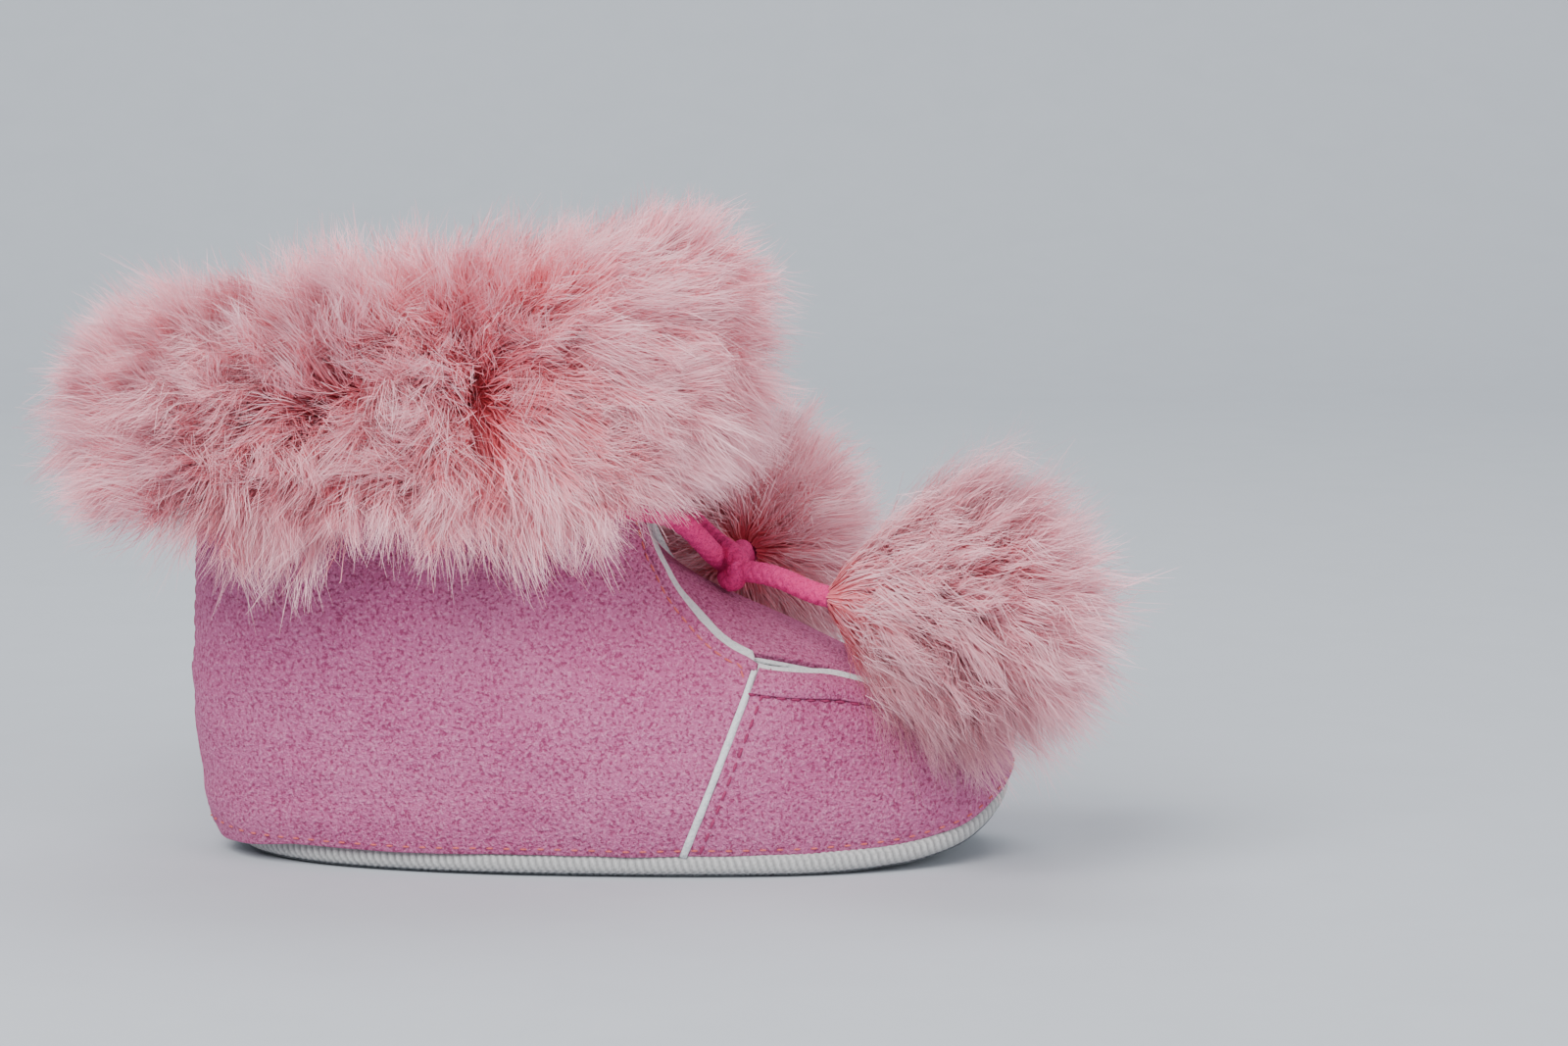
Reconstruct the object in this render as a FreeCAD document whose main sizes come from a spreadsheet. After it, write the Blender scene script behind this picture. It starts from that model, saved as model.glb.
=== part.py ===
import FreeCAD, Part
import math
import os

from FreeCAD import Placement, Rotation, Vector

# Baby bootie with a faux fur cuff and a drawstring lace that ends in two pompoms.
# Millimetres. +X points to the toe, +Z up, and the near (lateral) side is at -Y.
# The origin is the middle of the body's box on the ground; the lists below count
# x from the heel of the sole, and origin_x moves them onto the origin.

doc = FreeCAD.newDocument("bootie")

# ---------------------------------------------------------------- driving dimensions
sheet = doc.addObject("Spreadsheet::Sheet", "Dimensions")
DIMENSIONS = {
    "origin_x": 46.733,
    "sole_length": 118.0,
    "sole_heel_width": 43.0,
    "sole_toe_width": 55.0,
    "rim_height": 3.6,
    "rim_wrap": 1.2,
    "felt_thickness": 1.2,
    "insole_thickness": 2.0,
    "suede_thickness": 1.3,
    "lining_thickness": 1.6,
    "facing_thickness": 0.7,
    "throat_felt_thickness": 0.9,
    "seam_edge_width": 1.1,
    "tongue_clearance": 0.25,
    "tongue_thickness": 1.2,
    "tongue_lining_thickness": 1.0,
    "ankle_length": 68.0,
    "ankle_width": 40.0,
    "ankle_x": 29.0,
    "cuff_tilt": 12.0,
    "cuff_base": 50.0,
    "cuff_room": 6.2,
    "cuff_backing_thickness": 1.0,
    "cuff_core_top": 42.0,
    "cuff_hole_length": 49.0,
    "cuff_hole_width": 26.0,
    "lace_diameter": 3.4,
    "lace_ring_reach": 4.2,
    "lace_ring_side": 3.3,
    "lace_room_radius": 1.85,
    "loop_radius": 1.8,
    "pompom_near_radius": 18.5,
    "pompom_far_radius": 17.5,
    "pompom_core_radius": 9.0,
    "pompom_neck_radius": 3.0,
    "tie_ring_radius": 2.55,
    "tie_thread_radius": 0.7,
    "tie_room_gap": 0.15,
}
for row, (alias, size) in enumerate(DIMENSIONS.items(), start=1):
    sheet.set("A%d" % row, alias)
    sheet.set("B%d" % row, str(size))
    sheet.setAlias("B%d" % row, alias)
doc.recompute()

nodes = []


def size_of(alias):
    """The number in a cell of the sheet."""
    return float(sheet.get(alias))


ORIGIN_X = size_of("origin_x")
FAR_OUT = 200.0
HAIR_GAP = 0.1


def at(x, y, z):
    """A point given from the heel of the sole, in the part's own frame."""
    return Vector(x - ORIGIN_X, y, z)


# ---------------------------------------------------------------- helpers
def feature(name, shape):
    item = doc.addObject("Part::Feature", name)
    item.Shape = shape
    return item


def cut(name, base, tool):
    item = doc.addObject("Part::Cut", name)
    item.Base = base
    item.Tool = tool
    return item


def fuse(name, *parts):
    item = doc.addObject("Part::MultiFuse", name)
    item.Shapes = list(parts)
    return item


def common(name, *parts):
    """The stretch that all the given solids share."""
    item = parts[0]
    for step, other in enumerate(parts[1:], start=1):
        last = step == len(parts) - 1
        both = doc.addObject("Part::Common", name if last else "%s_step%d" % (name, step))
        both.Base = item
        both.Tool = other
        item = both
    return item


def node(item, label):
    """Marks an object of the document as one piece of the bootie."""
    item.Label = label
    nodes.append(item)
    return item


def rod(name, start, direction, radius, length):
    """A cylinder from start along direction; its sizes are expressions on the sheet."""
    item = doc.addObject("Part::Cylinder", name)
    item.setExpression("Radius", radius)
    item.setExpression("Height", length)
    item.Placement = Placement(start, Rotation(Vector(0, 0, 1), direction))
    return item


def ball(name, centre, radius):
    item = doc.addObject("Part::Sphere", name)
    item.setExpression("Radius", radius)
    item.Placement = Placement(centre, Rotation())
    return item


def closed_curve(points):
    curve = Part.BSplineCurve()
    curve.interpolate(points, PeriodicFlag=True)
    return Part.Wire(curve.toShape())


def open_curve(points):
    curve = Part.BSplineCurve()
    curve.interpolate(points)
    return curve.toShape()


def across(name, edges):
    """A side-view outline pushed through the whole width of the bootie."""
    face = Part.Face(Part.Wire(Part.sortEdges(edges)[0]))
    face.translate(Vector(0, -FAR_OUT / 2, 0))
    return feature(name, face.extrude(Vector(0, FAR_OUT, 0)))


def polygon(points):
    ends = points[1:] + points[:1]
    return [Part.makeLine(a, b) for a, b in zip(points, ends)]


# ---------------------------------------------------------------- boot form
# Level outlines from the sole to the ankle: height, back, front, half width at the
# heel and half width at the toe, and the share of an inset by which it sinks.
LEVELS = [
    (2.0, 0.6, 116.5, 21.0, 26.5, 0.0),
    (7.0, -2.5, 118.6, 22.5, 28.5, 0.0),
    (13.0, -4.0, 119.0, 23.0, 29.0, 0.0),
    (19.0, -4.7, 116.5, 23.0, 27.5, 0.35),
    (24.0, -5.0, 110.5, 22.5, 25.0, 0.7),
    (28.0, -5.0, 102.0, 22.0, 22.5, 1.0),
    (31.5, -5.0, 90.0, 21.5, 20.5, 1.0),
    (37.0, -5.0, 76.5, 21.0, 20.0, 1.0),
    (45.0, -5.0, 68.0, 20.5, 19.5, 1.0),
    (56.0, -5.0, 63.0, 20.0, 19.5, 1.0),
    (70.0, -5.0, 62.5, 20.0, 19.5, 1.0),
]
OUTLINE_POINTS = 18
BLUNTNESS = 0.88


def level_outline(height, back, front, heel, toe):
    """An egg-shaped level outline, a little blunter than an ellipse at both ends."""
    points = []
    for step in range(OUTLINE_POINTS):
        angle = 2 * math.pi * step / OUTLINE_POINTS
        along = math.copysign(abs(math.cos(angle)) ** BLUNTNESS, math.cos(angle))
        side = math.copysign(abs(math.sin(angle)) ** BLUNTNESS, math.sin(angle))
        half_width = heel + (toe - heel) * (1 + along) / 2
        x = (back + front) / 2 + (front - back) / 2 * along
        points.append(at(x, half_width * side, height))
    return closed_curve(points)


def boot_form(name, inset):
    """The whole boot as one solid, moved inwards by inset."""
    wires = []
    for height, back, front, heel, toe, sink in LEVELS:
        level = height - sink * inset
        wires.append(level_outline(level, back + inset, front - inset, heel - inset, toe - inset))
    return feature(name, Part.makeLoft(wires, True, True))


suede = size_of("suede_thickness")
lining = size_of("lining_thickness")
facing = size_of("facing_thickness")
form_facing = boot_form("form_facing", -facing)
form_outer = boot_form("form_outer", 0.0)
form_lining = boot_form("form_lining", suede)
form_inner = boot_form("form_inner", suede + lining)
throat_felt = size_of("throat_felt_thickness")
form_felt = boot_form("form_felt", suede + lining + throat_felt)
form_tongue = boot_form("form_tongue", suede + lining + throat_felt + size_of("tongue_clearance"))

# ---------------------------------------------------------------- rocker of the sole
# The sole is flat under the middle and lifts at the heel and, more, at the toe.
HEEL_LIFT = [(-9.0, 8.5), (0.0, 3.4), (10.0, 1.0), (24.0, 0.0)]
TOE_LIFT = [(90.0, 0.0), (106.0, 1.9), (113.6, 4.9), (118.0, 8.9), (122.0, 15.0)]


def rocker_edges(lift):
    """The sole's side-view line, moved up by lift."""
    heel = [at(x, 0, z + lift) for x, z in HEEL_LIFT]
    toe = [at(x, 0, z + lift) for x, z in TOE_LIFT]
    heel_curve = Part.BSplineCurve()
    heel_curve.interpolate(heel, InitialTangent=Vector(5, 0, -4), FinalTangent=Vector(9, 0, 0))
    toe_curve = Part.BSplineCurve()
    toe_curve.interpolate(toe, InitialTangent=Vector(9, 0, 0), FinalTangent=Vector(3, 0, 6))
    edges = [heel_curve.toShape(), Part.makeLine(heel[-1], toe[0]), toe_curve.toShape()]
    return edges, heel[0], toe[-1]


def slab(name, low, high):
    """The layer of the sole between two heights above the rocker line."""
    lower, low_heel, low_toe = rocker_edges(low)
    upper, high_heel, high_toe = rocker_edges(high)
    ends = [Part.makeLine(low_heel, high_heel), Part.makeLine(low_toe, high_toe)]
    return across(name, lower + upper + ends)


def prism(name, inset):
    """The sole's outline as an upright block, moved inwards by inset."""
    length = size_of("sole_length")
    heel = size_of("sole_heel_width") / 2
    toe = size_of("sole_toe_width") / 2
    wire = level_outline(-5.0, inset, length - inset, heel - inset, toe - inset)
    return feature(name, Part.Face(wire).extrude(Vector(0, 0, 40)))


rim_height = size_of("rim_height")
felt = size_of("felt_thickness")
wrap = size_of("rim_wrap")
insole_top = rim_height + size_of("insole_thickness")
outline_outer = prism("sole_outline", 0.0)
outline_inner = prism("sole_outline_inner", wrap)

rim_ring = cut("rim_ring", outline_outer, outline_inner)
node(common("rim_tape", rim_ring, slab("rim_layer", 0.0, rim_height)), "sole_rim_tape")
node(common("outsole_felt", outline_inner, slab("outsole_layer", 0.0, felt)), "outsole_felt")
node(common("sole_pad", outline_inner, slab("pad_layer", felt, rim_height)), "sole_pad")
node(common("insole", form_inner, slab("insole_layer", rim_height, insole_top)), "insole")

# ---------------------------------------------------------------- upper
# Side-view line of the open throat: down the front of the ankle, along the top line
# of the vamp and up again at the front of the opening.
THROAT_LINE = [
    (60.0, 72.0), (60.4, 62.0), (61.4, 55.5), (64.3, 46.6), (69.2, 39.2), (75.1, 34.2),
    (80.5, 31.4), (91.4, 28.0), (99.5, 25.4), (103.8, 26.2), (106.5, 30.0), (108.0, 38.0),
]
SEAM_FOOT = (67.4, 1.6)
SEAM_HEAD = (78.6, 31.8)


def throat_block(name, dx, dz):
    """Everything above the throat line, with the line moved by dx and dz."""
    line = [at(x + dx, 0, z + dz) for x, z in THROAT_LINE]
    top_front = at(THROAT_LINE[-1][0] + dx, 0, 110)
    top_back = at(THROAT_LINE[0][0] + dx, 0, 110)
    corners = [(line[-1], top_front), (top_front, top_back), (top_back, line[0])]
    return across(name, [open_curve(line)] + [Part.makeLine(a, b) for a, b in corners])


def seam_block(name, shift, width):
    """A slanted layer in front of the side seam, which is moved towards the toe by shift."""
    rise = (SEAM_HEAD[0] - SEAM_FOOT[0]) / (SEAM_HEAD[1] - SEAM_FOOT[1])
    low, high = -10.0, 60.0
    foot = SEAM_FOOT[0] + rise * (low - SEAM_FOOT[1]) + shift
    head = SEAM_FOOT[0] + rise * (high - SEAM_FOOT[1]) + shift
    points = [at(foot, 0, low), at(head, 0, high)]
    points += [at(head + width, 0, high), at(foot + width, 0, low)]
    return across(name, polygon(points))


def tilted_block(name, low, high):
    """The layer between two heights along the cuff's tilted axis."""
    slope = math.tan(math.radians(size_of("cuff_tilt")))
    rise = 1 / math.cos(math.radians(size_of("cuff_tilt")))
    middle = size_of("ankle_x")
    base = size_of("cuff_base")

    def corner(x, lift):
        return at(x, 0, base + lift * rise + slope * (x - middle))

    back, front = -100.0, 200.0
    points = [corner(back, low), corner(front, low), corner(front, high), corner(back, high)]
    return across(name, polygon(points))


def side_block(name, side):
    """Half of space on one side of the middle plane; side is -1 (near) or 1 (far)."""
    item = doc.addObject("Part::Box", name)
    item.Length = 2 * FAR_OUT
    item.Width = FAR_OUT
    item.Height = 2 * FAR_OUT
    start = HAIR_GAP / 2 if side > 0 else -FAR_OUT - HAIR_GAP / 2
    item.Placement = Placement(Vector(-FAR_OUT, start, -FAR_OUT), Rotation())
    return item


SHAFT_TOP = 9.4
BINDING_TOP = -7.5
above_sole = slab("above_sole", rim_height + HAIR_GAP, 130.0)
below_top = tilted_block("below_shaft_top", -90.0, SHAFT_TOP)
below_lace = tilted_block("below_lace", -90.0, BINDING_TOP)
throat = throat_block("throat_opening", 0.0, 0.0)
throat_lining = throat_block("throat_opening_lining", 1.4, 1.3)
throat_felt_line = throat_block("throat_opening_felt", 2.2, 2.0)
throat_felt_back = throat_block("throat_felt_back", -3.5, -3.2)
throat_binding_back = throat_block("throat_binding_back", -1.2, -1.1)
throat_facing_back = throat_block("throat_facing_back", 2.6, -3.7)
seam_edge = size_of("seam_edge_width")
in_front_of_seam = seam_block("in_front_of_seam", 0.0, FAR_OUT)
in_front_of_edge = seam_block("in_front_of_edge", seam_edge + HAIR_GAP, FAR_OUT)
seam_strip = seam_block("seam_strip", HAIR_GAP, seam_edge - HAIR_GAP)
sides = {"near": side_block("near_side", -1), "far": side_block("far_side", 1)}

upper_outer = common("upper_outer", form_outer, above_sole, below_top)
upper_shell = cut("upper_shell", upper_outer, form_lining)
upper_open = cut("upper_open", upper_shell, throat)
node(common("vamp", upper_open, in_front_of_edge), "vamp")
quarters = cut("quarters", upper_open, in_front_of_seam)

lining_low = slab("above_insole", insole_top + HAIR_GAP, 130.0)
lining_outer = common("lining_outer", form_lining, lining_low, below_top)
lining_shell = cut("lining_shell", lining_outer, form_inner)
lining_open = cut("lining_open", lining_shell, throat_lining)
node(common("vamp_lining", lining_open, in_front_of_seam), "vamp_lining")
quarter_linings = cut("quarter_linings", lining_open, in_front_of_seam)

facing_shell = cut("facing_shell", form_facing, form_outer)
facing_band = cut("facing_band", common("facing_zone", facing_shell, throat_facing_back), throat)
node(common("vamp_facing", facing_band, in_front_of_seam), "vamp_facing")
binding_zone = common("binding_zone", facing_shell, throat_binding_back, below_lace)
binding_band = cut("binding_band", binding_zone, throat)
bindings = cut("bindings", binding_band, in_front_of_seam)

felt_shell = cut("felt_shell", common("felt_outer", form_inner, below_top), form_felt)
felt_zone = common("felt_zone", felt_shell, throat_felt_back)
felt_band = cut("felt_band", cut("felt_ahead", felt_zone, throat_felt_line), in_front_of_seam)

for side, half in sides.items():
    node(common("quarter_" + side, quarters, half), "quarter_" + side)
    node(common("seam_edge_" + side, upper_open, half, seam_strip), "side_seam_edge_" + side)
    node(common("quarter_lining_" + side, quarter_linings, half), "quarter_lining_" + side)
    node(common("binding_" + side, bindings, half), "throat_binding_" + side)
    node(common("felt_" + side, felt_band, half), "throat_felt_" + side)

# ---------------------------------------------------------------- tongue
# Domed strips across the tongue's centre line: x, z, half width and dome height.
TONGUE = [
    (99.0, 20.3, 7.0, 1.0),
    (90.0, 23.3, 9.5, 2.0),
    (80.0, 27.5, 12.0, 3.0),
    (70.5, 33.0, 12.6, 4.0),
    (61.5, 41.5, 11.4, 4.5),
    (55.0, 52.0, 11.0, 4.5),
    (52.0, 62.0, 10.5, 4.2),
]


def tongue_layer(name, low, high):
    """The tongue's layer between two heights above its centre line."""
    wires = []
    for step, (x, z, half_width, dome) in enumerate(TONGUE):
        before = TONGUE[max(step - 1, 0)]
        after = TONGUE[min(step + 1, len(TONGUE) - 1)]
        along = Vector(after[0] - before[0], 0, after[1] - before[1]).normalize()
        up = Vector(-along.z, 0, along.x)
        up = up if up.z > 0 else -up
        centre = at(x, 0, z)

        def arc(lift):
            ends = [centre + up * (lift - dome) + Vector(0, s * half_width, 0) for s in (-1, 1)]
            return Part.Arc(ends[0], centre + up * lift, ends[1]).toShape(), ends

        lower, low_ends = arc(low)
        upper, high_ends = arc(high)
        left = Part.makeLine(low_ends[0], high_ends[0])
        right = Part.makeLine(low_ends[1], high_ends[1])
        wires.append(Part.Wire([lower, right, upper, left]))
    return feature(name, Part.makeLoft(wires, True, False))


tongue_top = size_of("tongue_thickness")
lining_bottom = -size_of("tongue_lining_thickness")
tongue_suede = tongue_layer("tongue_suede", 0.0, tongue_top)
tongue_felt = tongue_layer("tongue_felt", lining_bottom, -HAIR_GAP)
node(common("tongue_in_boot", tongue_suede, form_tongue), "tongue")
node(common("tongue_felt_in_boot", tongue_felt, form_tongue), "tongue_lining")

# ---------------------------------------------------------------- fur cuff
# Outer envelope of the pile: height along the cuff's axis, half length, half width.
PILE_LEVELS = [
    (-4.0, 39.0, 28.0),
    (2.0, 47.5, 35.0),
    (11.0, 53.0, 39.5),
    (22.0, 54.5, 41.0),
    (33.0, 52.5, 39.5),
    (41.0, 47.5, 35.0),
    (47.0, 38.0, 26.0),
]
PILE_CENTRE_X = 28.0


def pile_envelope(name):
    tilt = math.radians(size_of("cuff_tilt"))
    wires = []
    for lift, half_length, half_width in PILE_LEVELS:
        points = []
        for step in range(OUTLINE_POINTS):
            angle = 2 * math.pi * step / OUTLINE_POINTS
            reach = half_length * math.cos(angle)
            x = PILE_CENTRE_X + reach * math.cos(tilt)
            z = size_of("cuff_base") + lift + reach * math.sin(tilt)
            points.append(at(x, half_width * math.sin(angle), z))
        wires.append(closed_curve(points))
    return feature(name, Part.makeLoft(wires, True, False))


def oval(name, outset):
    """An upright oval block round the ankle; outset is an expression."""
    outline = doc.addObject("Part::Ellipse", name + "_outline")
    outline.setExpression("MajorRadius", "Dimensions.ankle_length / 2 + " + outset)
    outline.setExpression("MinorRadius", "Dimensions.ankle_width / 2 + " + outset)
    outline.Placement = Placement(at(size_of("ankle_x"), 0, 0), Rotation())
    block = doc.addObject("Part::Extrusion", name)
    block.Base = outline
    block.Dir = Vector(0, 0, 1)
    block.LengthFwd = 130
    block.Solid = True
    return block


CORE_BOTTOM = SHAFT_TOP + 0.4
core_top = size_of("cuff_core_top")
backing = size_of("cuff_backing_thickness")
core_outer = oval("core_outer", "Dimensions.cuff_room - 0.2")
core_inner = oval("core_inner", "0 - 1.5")
room_outer = oval("room_outer", "Dimensions.cuff_room")
room_inner = oval("room_inner", "0 - 1.8")
backing_outer = oval("backing_outer", "Dimensions.cuff_room + Dimensions.cuff_backing_thickness")
backing_inner = oval("backing_inner", "0 - 3")
pile_seat = oval("pile_seat", "Dimensions.cuff_room + Dimensions.cuff_backing_thickness + 0.1")
pile_inner = oval("pile_inner", "0 - 3.1")

core_layer = tilted_block("core_layer", CORE_BOTTOM, core_top)
core_ring = cut("core_ring", core_outer, core_inner)
node(common("cuff_core", core_ring, core_layer), "cuff_core")

CUFF_BOTTOM = [
    (-40.0, 54.0), (-20.0, 49.5), (-6.0, 45.0), (20.0, 44.0), (44.0, 46.0), (54.0, 50.5),
    (61.0, 56.8), (75.0, 58.5), (95.0, 60.0),
]
bottom_line = [at(x, 0, z) for x, z in CUFF_BOTTOM]
cuff_top = [at(95, 0, 130), at(-40, 0, 130)]
above_bottom_edges = [open_curve(bottom_line)]
above_bottom_edges.append(Part.makeLine(bottom_line[-1], cuff_top[0]))
above_bottom_edges.append(Part.makeLine(cuff_top[0], cuff_top[1]))
above_bottom_edges.append(Part.makeLine(cuff_top[1], bottom_line[0]))
above_cuff_bottom = across("above_cuff_bottom", above_bottom_edges)

room_layer = tilted_block("room_layer", CORE_BOTTOM - 0.2, core_top + 0.2)
room_ring = cut("room_ring", room_outer, room_inner)
core_room = common("core_room", room_ring, room_layer)
below_core = tilted_block("below_core", -90.0, CORE_BOTTOM - 0.2)
shaft_room = common("shaft_room", room_outer, below_core)
backing_layer = tilted_block("backing_layer", -90.0, core_top + 0.2 + backing)
backing_ring = cut("backing_ring", backing_outer, backing_inner)
backing_whole = common("backing_whole", backing_ring, backing_layer, above_cuff_bottom)
backing_folded = cut("backing_folded", backing_whole, fuse("backing_rooms", core_room, shaft_room))
node(backing_folded, "cuff_backing")

seat_ring = cut("seat_ring", pile_seat, pile_inner)
seat_layer = tilted_block("seat_layer", -90.0, core_top + 0.3 + backing)
seat_room = common("seat_room", seat_ring, seat_layer)
shaft_inside = common("shaft_inside", pile_inner, below_core)
hole_outline = doc.addObject("Part::Ellipse", "cuff_hole_outline")
hole_outline.setExpression("MajorRadius", "Dimensions.cuff_hole_length / 2")
hole_outline.setExpression("MinorRadius", "Dimensions.cuff_hole_width / 2")
hole_outline.Placement = Placement(at(size_of("ankle_x"), 0, 0), Rotation())
cuff_hole = doc.addObject("Part::Extrusion", "cuff_hole")
cuff_hole.Base = hole_outline
cuff_hole.Dir = Vector(0, 0, 1)
cuff_hole.LengthFwd = 130
cuff_hole.Solid = True
pile_rooms = fuse("pile_rooms", seat_room, shaft_inside, cuff_hole)
pile_block = common("pile_block", pile_envelope("pile_envelope"), above_cuff_bottom)
pile_whole = cut("pile_whole", pile_block, pile_rooms)
for side, half in sides.items():
    node(common("cuff_pile_" + side, pile_whole, half), "cuff_pile_" + side)

# ---------------------------------------------------------------- lace in the cuff
# The lace runs round the ankle between the suede and the cuff, comes out at the
# front below the fur and meets itself in a half knot over the tongue.
LACE_RING_ANGLE = 33.0
LACE_RING_SLOPE = 0.08
LACE_RING_HEIGHT = 51.2
KNOT = (74.4, 0.0, 45.2)
KNOT_HALF_SIZES = (1.7, 2.0, 2.4)
lace_radius = size_of("lace_diameter") / 2


def lace_ring_point(angle):
    reach = size_of("ankle_length") / 2 + size_of("lace_ring_reach")
    width = size_of("ankle_width") / 2 + size_of("lace_ring_side")
    x = reach * math.cos(angle)
    z = LACE_RING_HEIGHT + LACE_RING_SLOPE * x
    return at(size_of("ankle_x") + x, width * math.sin(angle), z)


def tube(path, radius):
    """A round tube along a wire."""
    first = path.Edges[0]
    start = first.valueAt(first.FirstParameter)
    heading = first.tangentAt(first.FirstParameter)
    section = Part.Wire(Part.makeCircle(radius, start, heading))
    return path.makePipeShell([section], True, True)


ring_points = []
RING_STEPS = 24
first_angle = math.radians(LACE_RING_ANGLE)
for step in range(RING_STEPS + 1):
    ring_points.append(
        lace_ring_point(first_angle + (2 * math.pi - 2 * first_angle) * step / RING_STEPS)
    )
lead_far = [at(73.2, 3.6, 47.2), at(68.6, 6.8, 51.0)]
lead_near = [at(68.6, -6.8, 51.0), at(73.2, -3.6, 47.2)]
collar_path = Part.Wire(open_curve(lead_far + ring_points + lead_near))
node(feature("collar_run", tube(collar_path, lace_radius)), "lace_collar_run")

knot = doc.addObject("Part::Ellipsoid", "knot")
knot.Radius1 = KNOT_HALF_SIZES[2]
knot.Radius2 = KNOT_HALF_SIZES[0]
knot.Radius3 = KNOT_HALF_SIZES[1]
knot.Placement = Placement(at(*KNOT), Rotation())
node(knot, "lace_knot")

# ---------------------------------------------------------------- lace ends, pompoms
# Each free end of the lace leaves a loop of the knot, the point that it swings about,
# and runs on into its pompom, where it is tied in at the neck.
ARC_SHARE = 0.45
NECK_SHARE = 0.12
NECK_INSIDE = 0.66
NECK_FLARE = " * 0.72"
MIN_NECK = 2.0
CHANNEL_LENGTH = "30"
TIE_BACK = 0.8


def tangent_path(route):
    """Straight runs joined by tangent arcs, as large as two runs allow."""
    edges = []
    last = route[0]
    for before, corner, after in zip(route, route[1:], route[2:]):
        run_in = (before - corner).normalize()
        run_out = (after - corner).normalize()
        half_turn = (math.pi - run_in.getAngle(run_out)) / 2
        shorter = min((before - corner).Length, (after - corner).Length)
        reach = ARC_SHARE * shorter
        radius = reach / math.tan(half_turn)
        print("bend radius %.1f mm, %.1f diameters" % (radius, radius / lace_radius / 2))
        middle_way = (run_in + run_out).normalize()
        deep = radius / math.cos(half_turn) - radius
        start = corner + run_in * reach
        stop = corner + run_out * reach
        edges.append(Part.makeLine(last, start))
        edges.append(Part.Arc(start, corner + middle_way * deep, stop).toShape())
        last = stop
    edges.append(Part.makeLine(last, route[-1]))
    return Part.Wire(edges)


LACE_ENDS = {
    "near": {
        "loop": (76.3, -3.6, 44.4),
        "route": [
            (77.9, -5.0, 44.6), (83.0, -9.2, 44.3), (88.9, -12.9, 41.9),
            (95.6, -15.6, 41.0), (107.2, -19.8, 40.4),
        ],
        "pompom": (112.9, -21.9, 40.2),
    },
    "far": {
        "loop": (76.3, 3.6, 44.4),
        "route": [
            (76.6, 5.8, 44.9), (77.3, 11.6, 45.9), (77.3, 17.6, 44.4),
            (77.9, 23.9, 42.7), (78.0, 36.0, 41.2),
        ],
        "pompom": (78.0, 36.5, 41.1),
    },
}

for side, end in LACE_ENDS.items():
    node(ball("loop_" + side, at(*end["loop"]), "Dimensions.loop_radius"), "lace_loop_" + side)
    route = [at(*point) for point in end["route"]]
    path = tangent_path(route)
    lace = feature("end_" + side, tube(path, lace_radius))
    node(lace, "lace_end_" + side)
    expected = math.pi * lace_radius ** 2 * path.Length
    print("lace_end_%s length %.1f mm, volume %.1f of %.1f" % (
        side, path.Length, lace.Shape.Volume, expected))

    centre = at(*end["pompom"])
    into = (route[-1] - route[-2]).normalize()
    neck = route[-2] + into * NECK_SHARE * (route[-1] - route[-2]).Length
    span = (centre - neck).Length
    ball_radius = "Dimensions.pompom_%s_radius" % side
    fur_ball = ball("fur_ball_" + side, centre, ball_radius)
    fur_neck = doc.addObject("Part::Cone", "fur_neck_" + side)
    fur_neck.setExpression("Radius1", "Dimensions.pompom_neck_radius")
    fur_neck.setExpression("Radius2", ball_radius + NECK_FLARE)
    fur_neck.Height = max(span - size_of("pompom_%s_radius" % side) * NECK_INSIDE, MIN_NECK)
    fur_neck.Placement = Placement(neck, Rotation(Vector(0, 0, 1), centre - neck))
    teardrop = fuse("teardrop_" + side, fur_ball, fur_neck)
    lace_room = "Dimensions.lace_room_radius"
    lace_channel = rod("lace_channel_" + side, route[-2], into, lace_room, CHANNEL_LENGTH)
    lace_way = feature("lace_way_" + side, tube(path, size_of("lace_room_radius")))
    stuffing = ball("stuffing_" + side, centre, "Dimensions.pompom_core_radius")
    stuffing_room = ball("stuffing_room_" + side, centre, "Dimensions.pompom_core_radius + 0.1")
    node(cut("core_" + side, stuffing, lace_channel), "pompom_core_" + side)
    tie = doc.addObject("Part::Torus", "tie_" + side)
    tie.setExpression("Radius1", "Dimensions.tie_ring_radius")
    tie.setExpression("Radius2", "Dimensions.tie_thread_radius")
    tie.Placement = Placement(neck - into * TIE_BACK, Rotation(Vector(0, 0, 1), into))
    node(tie, "pompom_tie_" + side)
    tie_half = size_of("tie_thread_radius") + size_of("tie_room_gap")
    tie_room = rod(
        "tie_room_" + side, neck - into * (TIE_BACK + tie_half), into,
        "Dimensions.tie_ring_radius + Dimensions.tie_thread_radius + Dimensions.tie_room_gap",
        "2 * (Dimensions.tie_thread_radius + Dimensions.tie_room_gap)",
    )
    hollow = fuse("hollow_" + side, lace_way, stuffing_room, tie_room)
    node(cut("pile_" + side, teardrop, hollow), "pompom_pile_" + side)

# ---------------------------------------------------------------- check and export
doc.recompute()
failed = [item.Name for item in doc.Objects if {"Invalid", "Error"} & set(item.State)]
if failed:
    raise RuntimeError("failed objects: " + ", ".join(failed))
for item in nodes:
    if item.Shape.isNull() or not item.Shape.isValid() or not item.Shape.Solids:
        raise RuntimeError("bad shape: " + item.Label)

os.makedirs("parts", exist_ok=True)
for item in nodes:
    item.Shape.exportStep("parts/%s.step" % item.Label)
    box = item.Shape.BoundBox
    print("%-24s solids %d volume %8.1f  x %.1f..%.1f  y %.1f..%.1f  z %.1f..%.1f" % (
        item.Label, len(item.Shape.Solids), item.Shape.Volume,
        box.XMin, box.XMax, box.YMin, box.YMax, box.ZMin, box.ZMax))
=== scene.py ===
import math

import bpy
import numpy as np
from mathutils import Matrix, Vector, noise
from mathutils.bvhtree import BVHTree


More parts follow.
